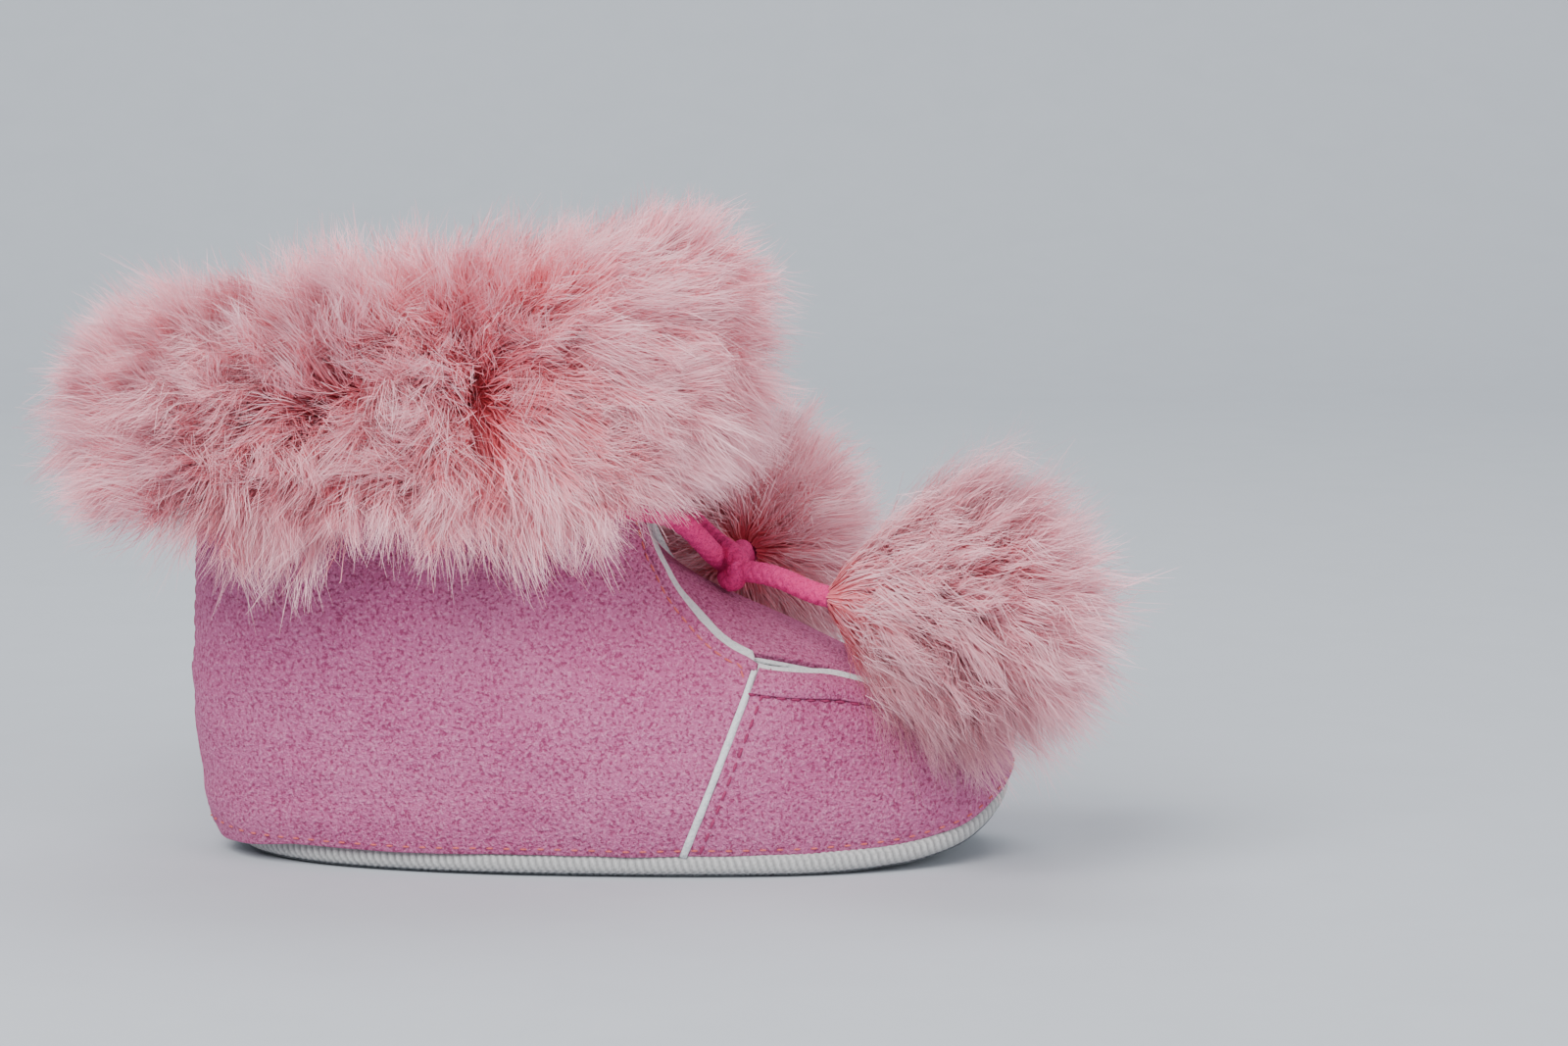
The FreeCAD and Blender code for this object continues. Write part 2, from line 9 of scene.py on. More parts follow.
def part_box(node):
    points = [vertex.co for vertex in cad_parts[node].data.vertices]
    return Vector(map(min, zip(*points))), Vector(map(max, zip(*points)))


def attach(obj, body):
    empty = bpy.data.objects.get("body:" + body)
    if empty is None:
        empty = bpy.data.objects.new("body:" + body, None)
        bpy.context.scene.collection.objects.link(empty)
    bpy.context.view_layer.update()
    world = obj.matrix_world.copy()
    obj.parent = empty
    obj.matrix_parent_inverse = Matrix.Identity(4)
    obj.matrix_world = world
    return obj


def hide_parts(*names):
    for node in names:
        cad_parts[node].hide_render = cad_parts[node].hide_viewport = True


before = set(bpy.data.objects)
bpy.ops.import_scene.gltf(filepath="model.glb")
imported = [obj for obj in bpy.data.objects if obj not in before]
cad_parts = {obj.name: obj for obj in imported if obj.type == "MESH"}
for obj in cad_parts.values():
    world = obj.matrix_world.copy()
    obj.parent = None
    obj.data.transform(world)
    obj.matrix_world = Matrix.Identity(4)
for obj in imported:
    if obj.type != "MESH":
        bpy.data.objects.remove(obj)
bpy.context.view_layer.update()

# ------------------------------------------------------------------ camera
# Side view of the bootie, toe to the right, from a little above the floor.
SOLE_LOW, SOLE_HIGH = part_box("sole_rim_tape")
HEEL_X = SOLE_LOW[0]
MM = 0.001
CAMERA_LENS = 100.0
CAMERA_DISTANCE = 0.657
CAMERA_TILT = math.radians(7.0)
CAMERA_TARGET = Vector((HEEL_X + 84.0 * MM, -25.0 * MM, 54.5 * MM))


def spot(x, y, z):
    """A place counted in millimetres from the heel of the sole, in the model's metres."""
    return Vector((HEEL_X + x * MM, y * MM, z * MM))


camera_data = bpy.data.cameras.new("camera")
camera_data.lens = CAMERA_LENS
camera = bpy.data.objects.new("camera", camera_data)
bpy.context.scene.collection.objects.link(camera)
back_off = Vector((0.0, -math.cos(CAMERA_TILT), math.sin(CAMERA_TILT)))
camera.location = CAMERA_TARGET + back_off * CAMERA_DISTANCE
camera.rotation_euler = (math.pi / 2 - CAMERA_TILT, 0.0, 0.0)
bpy.context.scene.camera = camera

# ------------------------------------------------------------------ lace ends
# Round braided cord in hot pink, 3.4 mm thick. Each end leaves the knot over the
# tongue and is tied into its pompom. The braid is worked on a tube round the route.
LACE_DIAMETER = 3.4 * MM
BRAID_STRANDS = 4
BRAID_PITCH = 7.6 * MM
BRAID_RELIEF = 0.26
ROUTE_NEAR = [
    (76.3, -3.6, 44.4), (77.9, -5.0, 44.6), (83.0, -9.2, 44.3), (88.9, -12.9, 41.9),
    (95.6, -15.6, 41.0), (107.2, -19.8, 40.4),
]
ROUTE_FAR = [
    (76.3, 3.6, 44.4), (76.6, 5.8, 44.9), (77.3, 11.6, 45.9), (77.3, 17.6, 44.4),
    (77.9, 23.9, 42.7), (78.0, 36.0, 41.2),
]


def srgb(red, green, blue):
    """Linear colour of an 8-bit screen colour."""
    def channel(value):
        value /= 255.0
        return value / 12.92 if value <= 0.04045 else ((value + 0.055) / 1.055) ** 2.4
    return (channel(red), channel(green), channel(blue), 1.0)


def new_material(name, roughness, sheen=0.0, sheen_tint=(1.0, 1.0, 1.0, 1.0)):
    """A material with its Principled shader's plain sockets set."""
    material = bpy.data.materials.new(name)
    material.use_nodes = True
    shader = material.node_tree.nodes["Principled BSDF"]
    shader.inputs["Roughness"].default_value = roughness
    shader.inputs["Specular IOR Level"].default_value = 0.25
    shader.inputs["Sheen Weight"].default_value = sheen
    shader.inputs["Sheen Roughness"].default_value = 0.45
    shader.inputs["Sheen Tint"].default_value = sheen_tint
    return material, shader


def grain_group():
    """Colour and height of a mottled, grainy textile; used by several cloths."""
    group = bpy.data.node_groups.new("cloth_grain", "ShaderNodeTree")
    face = group.interface
    for label, kind, value in (
        ("Base", "NodeSocketColor", (0.5, 0.5, 0.5, 1.0)),
        ("Dark", "NodeSocketColor", (0.2, 0.2, 0.2, 1.0)),
        ("Light", "NodeSocketColor", (0.8, 0.8, 0.8, 1.0)),
        ("Grain Size", "NodeSocketFloat", 0.0007),
        ("Dark Share", "NodeSocketFloat", 0.35),
        ("Light Share", "NodeSocketFloat", 0.3),
    ):
        face.new_socket(label, in_out="INPUT", socket_type=kind).default_value = value
    face.new_socket("Colour", in_out="OUTPUT", socket_type="NodeSocketColor")
    face.new_socket("Height", in_out="OUTPUT", socket_type="NodeSocketFloat")
    nodes, links = group.nodes, group.links
    given = nodes.new("NodeGroupInput")
    result = nodes.new("NodeGroupOutput")
    coordinates = nodes.new("ShaderNodeTexCoord")
    frequency = nodes.new("ShaderNodeMath")
    frequency.operation = "DIVIDE"
    frequency.inputs[0].default_value = 1.0
    links.new(given.outputs["Grain Size"], frequency.inputs[1])

    def speckle(detail, share, low, high):
        """Noise at a share of the grain's frequency, stretched to a mask."""
        scaled = nodes.new("ShaderNodeMath")
        scaled.operation = "MULTIPLY"
        links.new(frequency.outputs[0], scaled.inputs[0])
        scaled.inputs[1].default_value = share
        texture = nodes.new("ShaderNodeTexNoise")
        texture.inputs["Detail"].default_value = detail
        texture.inputs["Roughness"].default_value = 0.6
        links.new(coordinates.outputs["Object"], texture.inputs["Vector"])
        links.new(scaled.outputs[0], texture.inputs["Scale"])
        mask = nodes.new("ShaderNodeMapRange")
        mask.inputs["From Min"].default_value = low
        mask.inputs["From Max"].default_value = high
        links.new(texture.outputs["Fac"], mask.inputs["Value"])
        return mask.outputs["Result"], texture.outputs["Fac"]

    dark_mask, grain = speckle(2.0, 1.0, 0.50, 0.36)
    light_mask, nap = speckle(2.0, 1.25, 0.50, 0.64)
    cloud, _ = speckle(2.0, 0.03, 0.35, 0.65)

    def blend(factor, first, second, amount):
        weight = nodes.new("ShaderNodeMath")
        weight.operation = "MULTIPLY"
        links.new(factor, weight.inputs[0])
        if isinstance(amount, float):
            weight.inputs[1].default_value = amount
        else:
            links.new(amount, weight.inputs[1])
        mix = nodes.new("ShaderNodeMix")
        mix.data_type = "RGBA"
        links.new(weight.outputs[0], mix.inputs["Factor"])
        links.new(first, mix.inputs["A"])
        links.new(second, mix.inputs["B"])
        return mix.outputs["Result"]

    tone = blend(cloud, given.outputs["Base"], given.outputs["Light"], 0.16)
    tone = blend(light_mask, tone, given.outputs["Light"], given.outputs["Light Share"])
    tone = blend(dark_mask, tone, given.outputs["Dark"], given.outputs["Dark Share"])
    height = nodes.new("ShaderNodeMath")
    height.operation = "ADD"
    links.new(grain, height.inputs[0])
    links.new(nap, height.inputs[1])
    links.new(tone, result.inputs["Colour"])
    links.new(height.outputs[0], result.inputs["Height"])
    return group


CLOTH_GRAIN = grain_group()


def cloth_material(name, base, dark, light, grain, shares, bump, roughness=0.95, sheen=0.3):
    """A textile from the shared grain, with the grain as relief."""
    material, shader = new_material(name, roughness, sheen, light)
    nodes, links = material.node_tree.nodes, material.node_tree.links
    cloth = nodes.new("ShaderNodeGroup")
    cloth.node_tree = CLOTH_GRAIN
    cloth.inputs["Base"].default_value = base
    cloth.inputs["Dark"].default_value = dark
    cloth.inputs["Light"].default_value = light
    cloth.inputs["Grain Size"].default_value = grain
    cloth.inputs["Dark Share"].default_value = shares[0]
    cloth.inputs["Light Share"].default_value = shares[1]
    relief = nodes.new("ShaderNodeBump")
    relief.inputs["Strength"].default_value = bump[0]
    relief.inputs["Distance"].default_value = bump[1]
    links.new(cloth.outputs["Colour"], shader.inputs["Base Color"])
    links.new(cloth.outputs["Height"], relief.inputs["Height"])
    links.new(relief.outputs["Normal"], shader.inputs["Normal"])
    return material


LACE_MATERIAL = cloth_material(
    "braided_lace", srgb(222, 52, 126), srgb(140, 20, 72), srgb(236, 96, 158),
    0.0003, (0.5, 0.35), (0.5, 0.0001), 0.8, 0.25)


def mesh_piece(name, points, faces, material):
    """A mesh object at the origin, from places in metres."""
    mesh = bpy.data.meshes.new(name)
    mesh.from_pydata([tuple(p) for p in points], [], faces)
    mesh.materials.append(material)
    mesh.polygons.foreach_set("use_smooth", [True] * len(mesh.polygons))
    mesh.update()
    piece = bpy.data.objects.new(name, mesh)
    bpy.context.scene.collection.objects.link(piece)
    return piece


def route_line(route):
    """Close points along the NURBS line of a route given in millimetres."""
    curve = bpy.data.curves.new("route", "CURVE")
    curve.dimensions = "3D"
    curve.resolution_u = 40
    spline = curve.splines.new("NURBS")
    spline.points.add(len(route) - 1)
    for point, place in zip(spline.points, route):
        point.co = (*spot(*place), 1.0)
    spline.order_u = 3
    spline.use_endpoint_u = True
    holder = bpy.data.objects.new("route", curve)
    line = bpy.data.meshes.new_from_object(holder)
    points = np.array([tuple(v.co) for v in line.vertices])
    bpy.data.objects.remove(holder)
    bpy.data.curves.remove(curve)
    return points


def even_steps(points, step):
    """Points at even distances along a line, and the line's length."""
    lengths = np.concatenate([[0.0], np.cumsum(np.linalg.norm(np.diff(points, axis=0), axis=1))])
    count = max(int(round(lengths[-1] / step)), 2) + 1
    marks = np.linspace(0.0, lengths[-1], count)
    places = np.stack([np.interp(marks, lengths, points[:, k]) for k in range(3)], axis=1)
    return places, lengths[-1]


def turning_frames(points):
    """Two normals that turn as little as they can along a line."""
    tangents = np.gradient(points, axis=0)
    tangents /= np.linalg.norm(tangents, axis=1)[:, None]
    side = np.cross(tangents[0], (0.0, 0.0, 1.0))
    if np.linalg.norm(side) < 0.1:
        side = np.cross(tangents[0], (0.0, 1.0, 0.0))
    sides = []
    for tangent in tangents:
        side = side - tangent * np.dot(side, tangent)
        side = side / np.linalg.norm(side)
        sides.append(side)
    sides = np.array(sides)
    return sides, np.cross(tangents, sides)


def grid_faces(rows, columns, closed=False, flip=False):
    """Quads of a grid of points, closed round its columns where asked."""
    faces = []
    for r in range(rows - 1):
        for c in range(columns if closed else columns - 1):
            n = (c + 1) % columns
            quad = (r * columns + c, r * columns + n, (r + 1) * columns + n, (r + 1) * columns + c)
            faces.append(quad[::-1] if flip else quad)
    return faces


def braided_cord(name, line, diameter, material, ring=48, step=0.12 * MM):
    """A cord whose surface carries the crossing strands of a round braid."""
    points, length = even_steps(line, step)
    sides, ups = turning_frames(points)
    marks = np.linspace(0.0, length, len(points))
    angles = np.linspace(0.0, 2 * math.pi, ring, endpoint=False)
    along, around = np.meshgrid(marks, angles, indexing="ij")
    twist = 2 * math.pi * along / BRAID_PITCH
    half = BRAID_STRANDS / 2
    left = np.abs(np.cos(half * (around + twist)))
    right = np.abs(np.cos(half * (around - twist)))
    over = np.sin(half * (around + twist)) * np.sin(half * (around - twist))
    height = np.maximum(left ** 0.7 * (1 + 0.28 * over), right ** 0.7 * (1 - 0.28 * over))
    radius = diameter / 2 * (1.0 - BRAID_RELIEF + BRAID_RELIEF * height)
    vertices = (
        points[:, None, :]
        + radius[..., None] * np.cos(around)[..., None] * sides[:, None, :]
        + radius[..., None] * np.sin(around)[..., None] * ups[:, None, :]
    ).reshape(-1, 3)
    faces = grid_faces(len(points), ring, closed=True)
    faces.append(tuple(reversed(range(ring))))
    last = (len(points) - 1) * ring
    faces.append(tuple(range(last, last + ring)))
    return mesh_piece(name, vertices, faces, material), points, length


lace_ends = {}
for side, route in (("near", ROUTE_NEAR), ("far", ROUTE_FAR)):
    cord, cord_line, cord_length = braided_cord(
        "lace_end_%s_braid" % side, route_line(route), LACE_DIAMETER, LACE_MATERIAL)
    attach(cord, side + "_lace")
    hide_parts("lace_end_" + side)
    lace_ends[side] = (cord, cord_line, cord_length)

# ------------------------------------------------------------------ lace at the knot
# The same cord comes out from under the fur on both sides, and its two strands pass
# round each other in a half knot. The rest of it runs unseen inside the cuff.
SHORT_CORD_RING, SHORT_CORD_STEP, BEND_SHARE = 36, 0.18 * MM, 0.9
LEAD_NEAR = [
    (58.0, -12.0, 55.0), (64.4, -10.6, 54.6), (68.6, -8.6, 52.4), (71.4, -6.2, 49.2),
    (73.2, -2.6, 46.6), (74.6, 1.4, 45.2), (75.6, 3.6, 43.6), (77.0, 4.0, 44.2),
]
LEAD_FAR = [
    (58.0, 12.0, 55.0), (64.4, 10.6, 54.6), (68.6, 8.2, 52.0), (71.2, 5.0, 49.6),
    (73.6, 1.6, 48.0), (75.6, -1.6, 47.2), (77.0, -3.6, 45.8), (77.4, -4.4, 44.6),
]
for side, route in (("near", LEAD_NEAR), ("far", LEAD_FAR)):
    lead, _, _ = braided_cord(
        "lace_lead_" + side, route_line(route), LACE_DIAMETER, LACE_MATERIAL,
        SHORT_CORD_RING, SHORT_CORD_STEP)
    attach(lead, "root")
    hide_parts("lace_knot", "lace_collar_run")

for side, way in (("near", -1.0), ("far", 1.0)):
    bend = [
        (75.0, way * 1.6, 43.2), (75.4, way * 3.2, 42.4), (76.6, way * 4.6, 42.9),
        (77.2, way * 5.0, 44.4), (76.6, way * 4.4, 45.6),
    ]
    loop, _, _ = braided_cord(
        "lace_bend_" + side, route_line(bend), LACE_DIAMETER * BEND_SHARE, LACE_MATERIAL,
        SHORT_CORD_RING, SHORT_CORD_STEP)
    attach(loop, side + "_loop")
    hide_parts("lace_loop_" + side)

# ------------------------------------------------------------------ sole
# A soft rocker sole: dark grey needled felt below, a foam pad, and a white twill tape
# wrapped round the edge and sewn to the suede all the way round.
RIM_HEIGHT = 3.6
RIM_OUTSET = 1.1
TWILL_PITCH = 1.15
TWILL_DEPTH = 0.3
TWILL_SLANT = 1.5
RIB_SHAPE = 0.6
TAPE_THICKNESS = 0.35
SOLE_LENGTH = (SOLE_HIGH[0] - SOLE_LOW[0]) / MM
SOLE_HEEL, SOLE_TOE = 21.5, 27.5
BLUNT = 0.88
ROCKER = np.array([
    (-12.0, 2.4), (-6.0, 1.2), (0.0, 0.5), (5.0, 0.3), (10.0, 0.15), (17.0, 0.05),
    (24.0, 0.0), (40.0, 0.0), (60.0, 0.0), (78.0, 0.0), (90.0, 0.05), (98.0, 0.5),
    (106.0, 1.5), (113.6, 4.0), (118.0, 7.2), (122.0, 11.6),
])


def smooth_read(table, column, at):
    """Catmull-Rom reading of one column of a table against its first column."""
    keys, values = table[:, 0], table[:, column]
    slopes = np.gradient(values, keys)
    at = np.clip(at, keys[0], keys[-1])
    cell = np.clip(np.searchsorted(keys, at) - 1, 0, len(keys) - 2)
    width = keys[cell + 1] - keys[cell]
    u = (at - keys[cell]) / width
    h00 = (1 + 2 * u) * (1 - u) ** 2
    h10 = u * (1 - u) ** 2
    h01 = u * u * (3 - 2 * u)
    h11 = u * u * (u - 1)
    return (
        h00 * values[cell] + h10 * width * slopes[cell]
        + h01 * values[cell + 1] + h11 * width * slopes[cell + 1]
    )


def power(value, exponent):
    return np.sign(value) * np.abs(value) ** exponent


def sole_point(angle, inset, lift):
    """A point on the sole's outline, moved inwards and up from the rocker line."""
    along = power(np.cos(angle), BLUNT)
    reach = SOLE_LENGTH / 2 - inset
    x = SOLE_LENGTH / 2 + reach * along
    half = SOLE_HEEL + (SOLE_TOE - SOLE_HEEL) * (1 + along) / 2 - inset
    y = half * power(np.sin(angle), BLUNT)
    return np.stack([x, y, smooth_read(ROCKER, 1, x) + lift], axis=-1)


def to_metres(points):
    return np.asarray(points) * MM + np.array([HEEL_X, 0.0, 0.0])


RIM_STEPS = 2200
rim_angles = np.linspace(0.0, 2 * math.pi, RIM_STEPS, endpoint=False)
rim_line = sole_point(rim_angles, 0.0, 0.0)
rim_marks = np.concatenate([[0.0], np.cumsum(np.linalg.norm(np.diff(rim_line, axis=0), axis=1))])
rim_round = rim_marks[-1] + np.linalg.norm(rim_line[0] - rim_line[-1])
twill_ribs = round(rim_round / TWILL_PITCH)
SECTION_HEIGHT = 3.6
RIM_SECTION = [
    (3.2, 0.7), (1.8, 0.55), (0.8, 0.6), (0.2, 0.9), (-0.1, 1.4), (-0.2, 2.0), (-0.15, 2.7),
    (0.1, 3.3), (0.5, 3.7), (1.3, 3.9), (3.0, 3.8),
]
rim_rows, rim_groove_shade = [], []
for inset, lift in RIM_SECTION:
    wave = twill_ribs * rim_marks / rim_round - lift / TWILL_PITCH * TWILL_SLANT
    rib = (0.5 - 0.5 * np.cos(2 * math.pi * wave)) ** RIB_SHAPE
    depth = TWILL_DEPTH * (rib - 1.0)
    rim_groove_shade.append(1.0 - rib)
    ease = 0.12 * np.sin(rim_marks / 9.0) + 0.08 * np.sin(rim_marks / 3.7 + 1.0)
    rim_rows.append(sole_point(
        rim_angles, inset - RIM_OUTSET - depth - 0.4 * ease, lift * RIM_HEIGHT / SECTION_HEIGHT))
TAPE_MATERIAL = cloth_material(
    "twill_tape", srgb(194, 194, 193), srgb(146, 146, 144), srgb(214, 214, 213),
    0.00035, (0.5, 0.4), (0.5, 0.00012), 0.9, 0.2)
rim = mesh_piece(
    "sole_rim_twill", to_metres(np.concatenate(rim_rows)),
    grid_faces(len(RIM_SECTION), RIM_STEPS, closed=True), TAPE_MATERIAL)
rim.data.attributes.new("groove_shade", "FLOAT", "POINT").data.foreach_set(
    "value", np.concatenate(rim_groove_shade).astype(np.float32))
# The grooves between the twill ribs are mixed towards a darker grey: painted shade in the grooves,
# on top of the ribs' real relief.
tape_nodes, tape_links = TAPE_MATERIAL.node_tree.nodes, TAPE_MATERIAL.node_tree.links
groove_shade = tape_nodes.new("ShaderNodeAttribute")
groove_shade.attribute_name = "groove_shade"
shade = tape_nodes.new("ShaderNodeMix")
shade.data_type = "RGBA"
shade.inputs["B"].default_value = srgb(140, 140, 140)
tape_colour = tape_nodes["Principled BSDF"].inputs["Base Color"]
tape_links.new(tape_colour.links[0].from_socket, shade.inputs["A"])
tape_links.new(groove_shade.outputs["Fac"], shade.inputs["Factor"])
tape_links.new(shade.outputs["Result"], tape_colour)
thick = rim.modifiers.new("tape_thickness", "SOLIDIFY")
thick.thickness = TAPE_THICKNESS * MM
thick.offset = -1.0
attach(rim, "root")
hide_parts("sole_rim_tape")


def sole_layer(name, inset, low, high, material, swell=0.0):
    """A closed layer that follows the rocker between two heights."""
    steps = 160
    angles = np.linspace(0.0, 2 * math.pi, steps, endpoint=False)
    shares = [0.0, 0.12, 0.3, 0.55, 0.8, 0.93, 0.985, 1.0]
    rows = []
    outline = sole_point(angles, inset, 0.0)
    middle = np.array([SOLE_LENGTH / 2, 0.0, 0.0])

    def ring(share, lift):
        points = middle + (outline - middle) * share
        points[:, 2] = smooth_read(ROCKER, 1, points[:, 0]) + lift
        return points

    for share in shares[1:]:
        rows.append(ring(share, low + 0.25 * max(share - 0.93, 0.0) / 0.07))
    for share in reversed(shares[1:]):
        rows.append(ring(share, high - swell * share ** 6))
    points = np.concatenate(rows)
    faces = grid_faces(len(rows), steps, closed=True)
    faces.append(tuple(reversed(range(steps))))
    last = (len(rows) - 1) * steps
    faces.append(tuple(range(last, last + steps)))
    return mesh_piece(name, to_metres(points), faces, material)


GREY_FELT = cloth_material(
    "grey_needled_felt", srgb(92, 95, 99), srgb(48, 50, 54), srgb(150, 152, 155),
    0.0005, (0.7, 0.5), (0.8, 0.0003), 1.0, 0.3)
WHITE_FELT = cloth_material(
    "white_felt", srgb(214, 220, 221), srgb(160, 170, 174), srgb(240, 243, 243),
    0.0006, (0.35, 0.4), (0.7, 0.0003), 1.0, 0.3)
WADDING = cloth_material(
    "wadding", srgb(226, 224, 220), srgb(180, 178, 174), srgb(246, 245, 243),
    0.0012, (0.3, 0.4), (0.8, 0.0006), 1.0, 0.2)
outsole = sole_layer("outsole_needled_felt", 0.15, 0.0, 1.1, GREY_FELT)
pad = sole_layer("sole_foam_pad", 1.3, 1.3, 3.5, WADDING)
sock = sole_layer("insole_felt_sock", 2.6, 3.7, 5.5, WHITE_FELT, 0.6)
for layer, node, slot in (
    (outsole, "outsole_felt", "grey_felt"),
    (pad, "sole_pad", "wadding"),
    (sock, "insole", "white_felt"),
):
    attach(layer, "root")
    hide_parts(node)

# ------------------------------------------------------------------ upper
# Brushed pink microsuede, cut as a toe piece and two ankle pieces, over white felt.
# Every edge of a piece lies on the same boot form, so the seams meet.
LEVELS = np.array([
    (2.0, -3.2, 116.5, 21.4, 26.5), (7.0, -5.7, 118.6, 22.8, 28.6),
    (13.0, -6.6, 119.2, 23.2, 29.0), (19.0, -7.4, 117.4, 23.2, 28.0),
    (24.0, -7.7, 113.2, 22.8, 26.2), (28.0, -7.7, 106.8, 22.4, 24.0),
    (31.5, -7.6, 97.0, 21.9, 22.0), (37.0, -7.4, 80.5, 21.3, 20.4), (45.0, -7.0, 69.0, 20.7, 19.6),
    (56.0, -6.6, 63.2, 20.2, 19.5), (70.0, -6.4, 62.5, 20.2, 19.5),
])
THROAT_LINE = np.array([
    (60.0, 72.0), (60.4, 62.0), (61.4, 55.5), (64.3, 46.6), (69.2, 39.2), (75.1, 34.2),
    (79.4, 32.0), (91.4, 30.0), (99.5, 28.2), (103.8, 28.0), (106.5, 30.5), (108.0, 38.0),
])
SEAM_FOOT, SEAM_HEAD = (67.4, 1.6), (79.4, 32.0)
SEAM_RISE = (SEAM_HEAD[0] - SEAM_FOOT[0]) / (SEAM_HEAD[1] - SEAM_FOOT[1])
ANKLE_X = 29.0
UPPER_EASE = 1.0
HEEL_SAG = 1.7
CUFF_LEAN = math.radians(12.0)
SHAFT_TOP_HEIGHT, CUFF_SLOPE = 59.0, math.tan(CUFF_LEAN)
SUEDE_THICKNESS, FELT_THICKNESS = 1.2, 1.3
throat_by_height = THROAT_LINE[:7][::-1][:, ::-1].copy()


def boot_point(turn, z, inset=0.0):
    """A point of the boot form; turn runs from 0 at the heel to pi at the toe tip."""
    inset = inset - UPPER_EASE
    sink = inset * np.clip((z - 15.0) / 13.0, 0.0, 1.0)
    level = z + sink
    back = smooth_read(LEVELS, 1, level) + inset
    front = smooth_read(LEVELS, 2, level) - inset
    heel = smooth_read(LEVELS, 3, level) - inset
    toe = smooth_read(LEVELS, 4, level) - inset
    along = power(-np.cos(turn), BLUNT)
    x = (back + front) / 2 + (front - back) / 2 * along
    y = (heel + (toe - heel) * (1 + along) / 2) * power(np.sin(turn), BLUNT)
    return np.stack([x, y, z], axis=-1)


def turn_at(x, z, inset=0.0):
    """The turn at which the boot form has a given x at height z."""
    inset = inset - UPPER_EASE
    sink = inset * np.clip((z - 15.0) / 13.0, 0.0, 1.0)
    back = smooth_read(LEVELS, 1, z + sink) + inset
    front = smooth_read(LEVELS, 2, z + sink) - inset
    along = np.clip((x - (back + front) / 2) / ((front - back) / 2), -1.0, 1.0)
    return np.arccos(-power(along, 1 / BLUNT))


def soft_noise(points, size, seed):
    """Smooth noise between about -1 and 1 at each point, with features of a given size."""
    shift = Vector((seed * 7.3, seed * 3.1, seed * 5.7))
    return np.array([noise.noise(Vector(p) / size + shift) for p in points])


def surface_normals(grid):
    """Normals of a grid of points, from its neighbours."""
    down = np.gradient(grid, axis=0)
    across = np.gradient(grid, axis=1)
    normal = np.cross(across, down)
    length = np.linalg.norm(normal, axis=-1, keepdims=True)
    return normal / np.maximum(length, 1e-9)


def outward(grid, normal):
    """The normals turned so that they point away from the middle of the boot."""
    middle = np.array([45.0, 0.0, 22.0])
    away = grid - middle
    away[..., 0] *= 0.4
    sign = np.sign(np.sum(away * normal, axis=-1, keepdims=True))
    return normal * np.where(sign == 0, 1.0, sign)


def rumpled(grid, depth, seed):
    """The grid with the soft dents and ripples of worn suede."""
    flat = grid.reshape(-1, 3)
    big = soft_noise(flat, 19.0, seed) * 0.55
    small = soft_noise(flat * np.array([1.0, 1.0, 1.9]), 8.0, seed + 3) * 0.28
    fine = soft_noise(flat, 3.1, seed + 5) * 0.07
    lift = ((big + small + fine) * depth).reshape(grid.shape[:2])
    return grid + outward(grid, surface_normals(grid)) * lift[..., None]


def seam_x(z, shift=0.0):
    return SEAM_FOOT[0] + (z - SEAM_FOOT[1]) * SEAM_RISE + shift


def throat_x(z):
    return smooth_read(throat_by_height, 1, z)


def quarter_grid(way, inset=0.0, reveal=(0.0, 0.0), bottom=3.4, top=0.0, rows=96, columns=150):
    """One ankle piece, from the heel seam to the side seam and the throat edge."""
    u, v = np.meshgrid(np.linspace(0.0, 1.0, columns), np.linspace(0.0, 1.0, rows))
    x = u * 75.0
    for _ in range(12):
        low = smooth_read(ROCKER, 1, x) + bottom - HEEL_SAG * np.clip((8.0 - x) / 11.0, 0.0, 1.0)
        high = SHAFT_TOP_HEIGHT + top + CUFF_SLOPE * (x - ANKLE_X)
        z = low + (high - low) * v
        open_edge = throat_x(z - reveal[1]) + reveal[0]
        limit = np.where(z < SEAM_HEAD[1] + reveal[1], seam_x(z), open_edge)
        turn = u * turn_at(limit, z, inset)
        x = boot_point(turn, z, inset)[..., 0]
    grid = boot_point(turn, z, inset)
    grid[..., 1] *= way
    return grid


def sheet_piece(name, grid, material, thickness, soften):
    """A cloth piece with thickness and soft edges; the grid is its outer face."""
    rows, columns = grid.shape[:2]
    normal = surface_normals(grid)
    away = outward(grid, normal)
    same = float(np.sum(normal * away)) > 0
    piece = mesh_piece(
        name, to_metres(grid.reshape(-1, 3)),
        grid_faces(rows, columns, flip=not same), material)
    wall = piece.modifiers.new("thickness", "SOLIDIFY")
    wall.thickness = thickness * MM
    wall.offset = -1.0
    edge = piece.modifiers.new("soft_edge", "BEVEL")
    edge.width = soften * MM
    edge.segments = 2
    edge.limit_method = "ANGLE"
    edge.angle_limit = math.radians(50.0)
    return piece


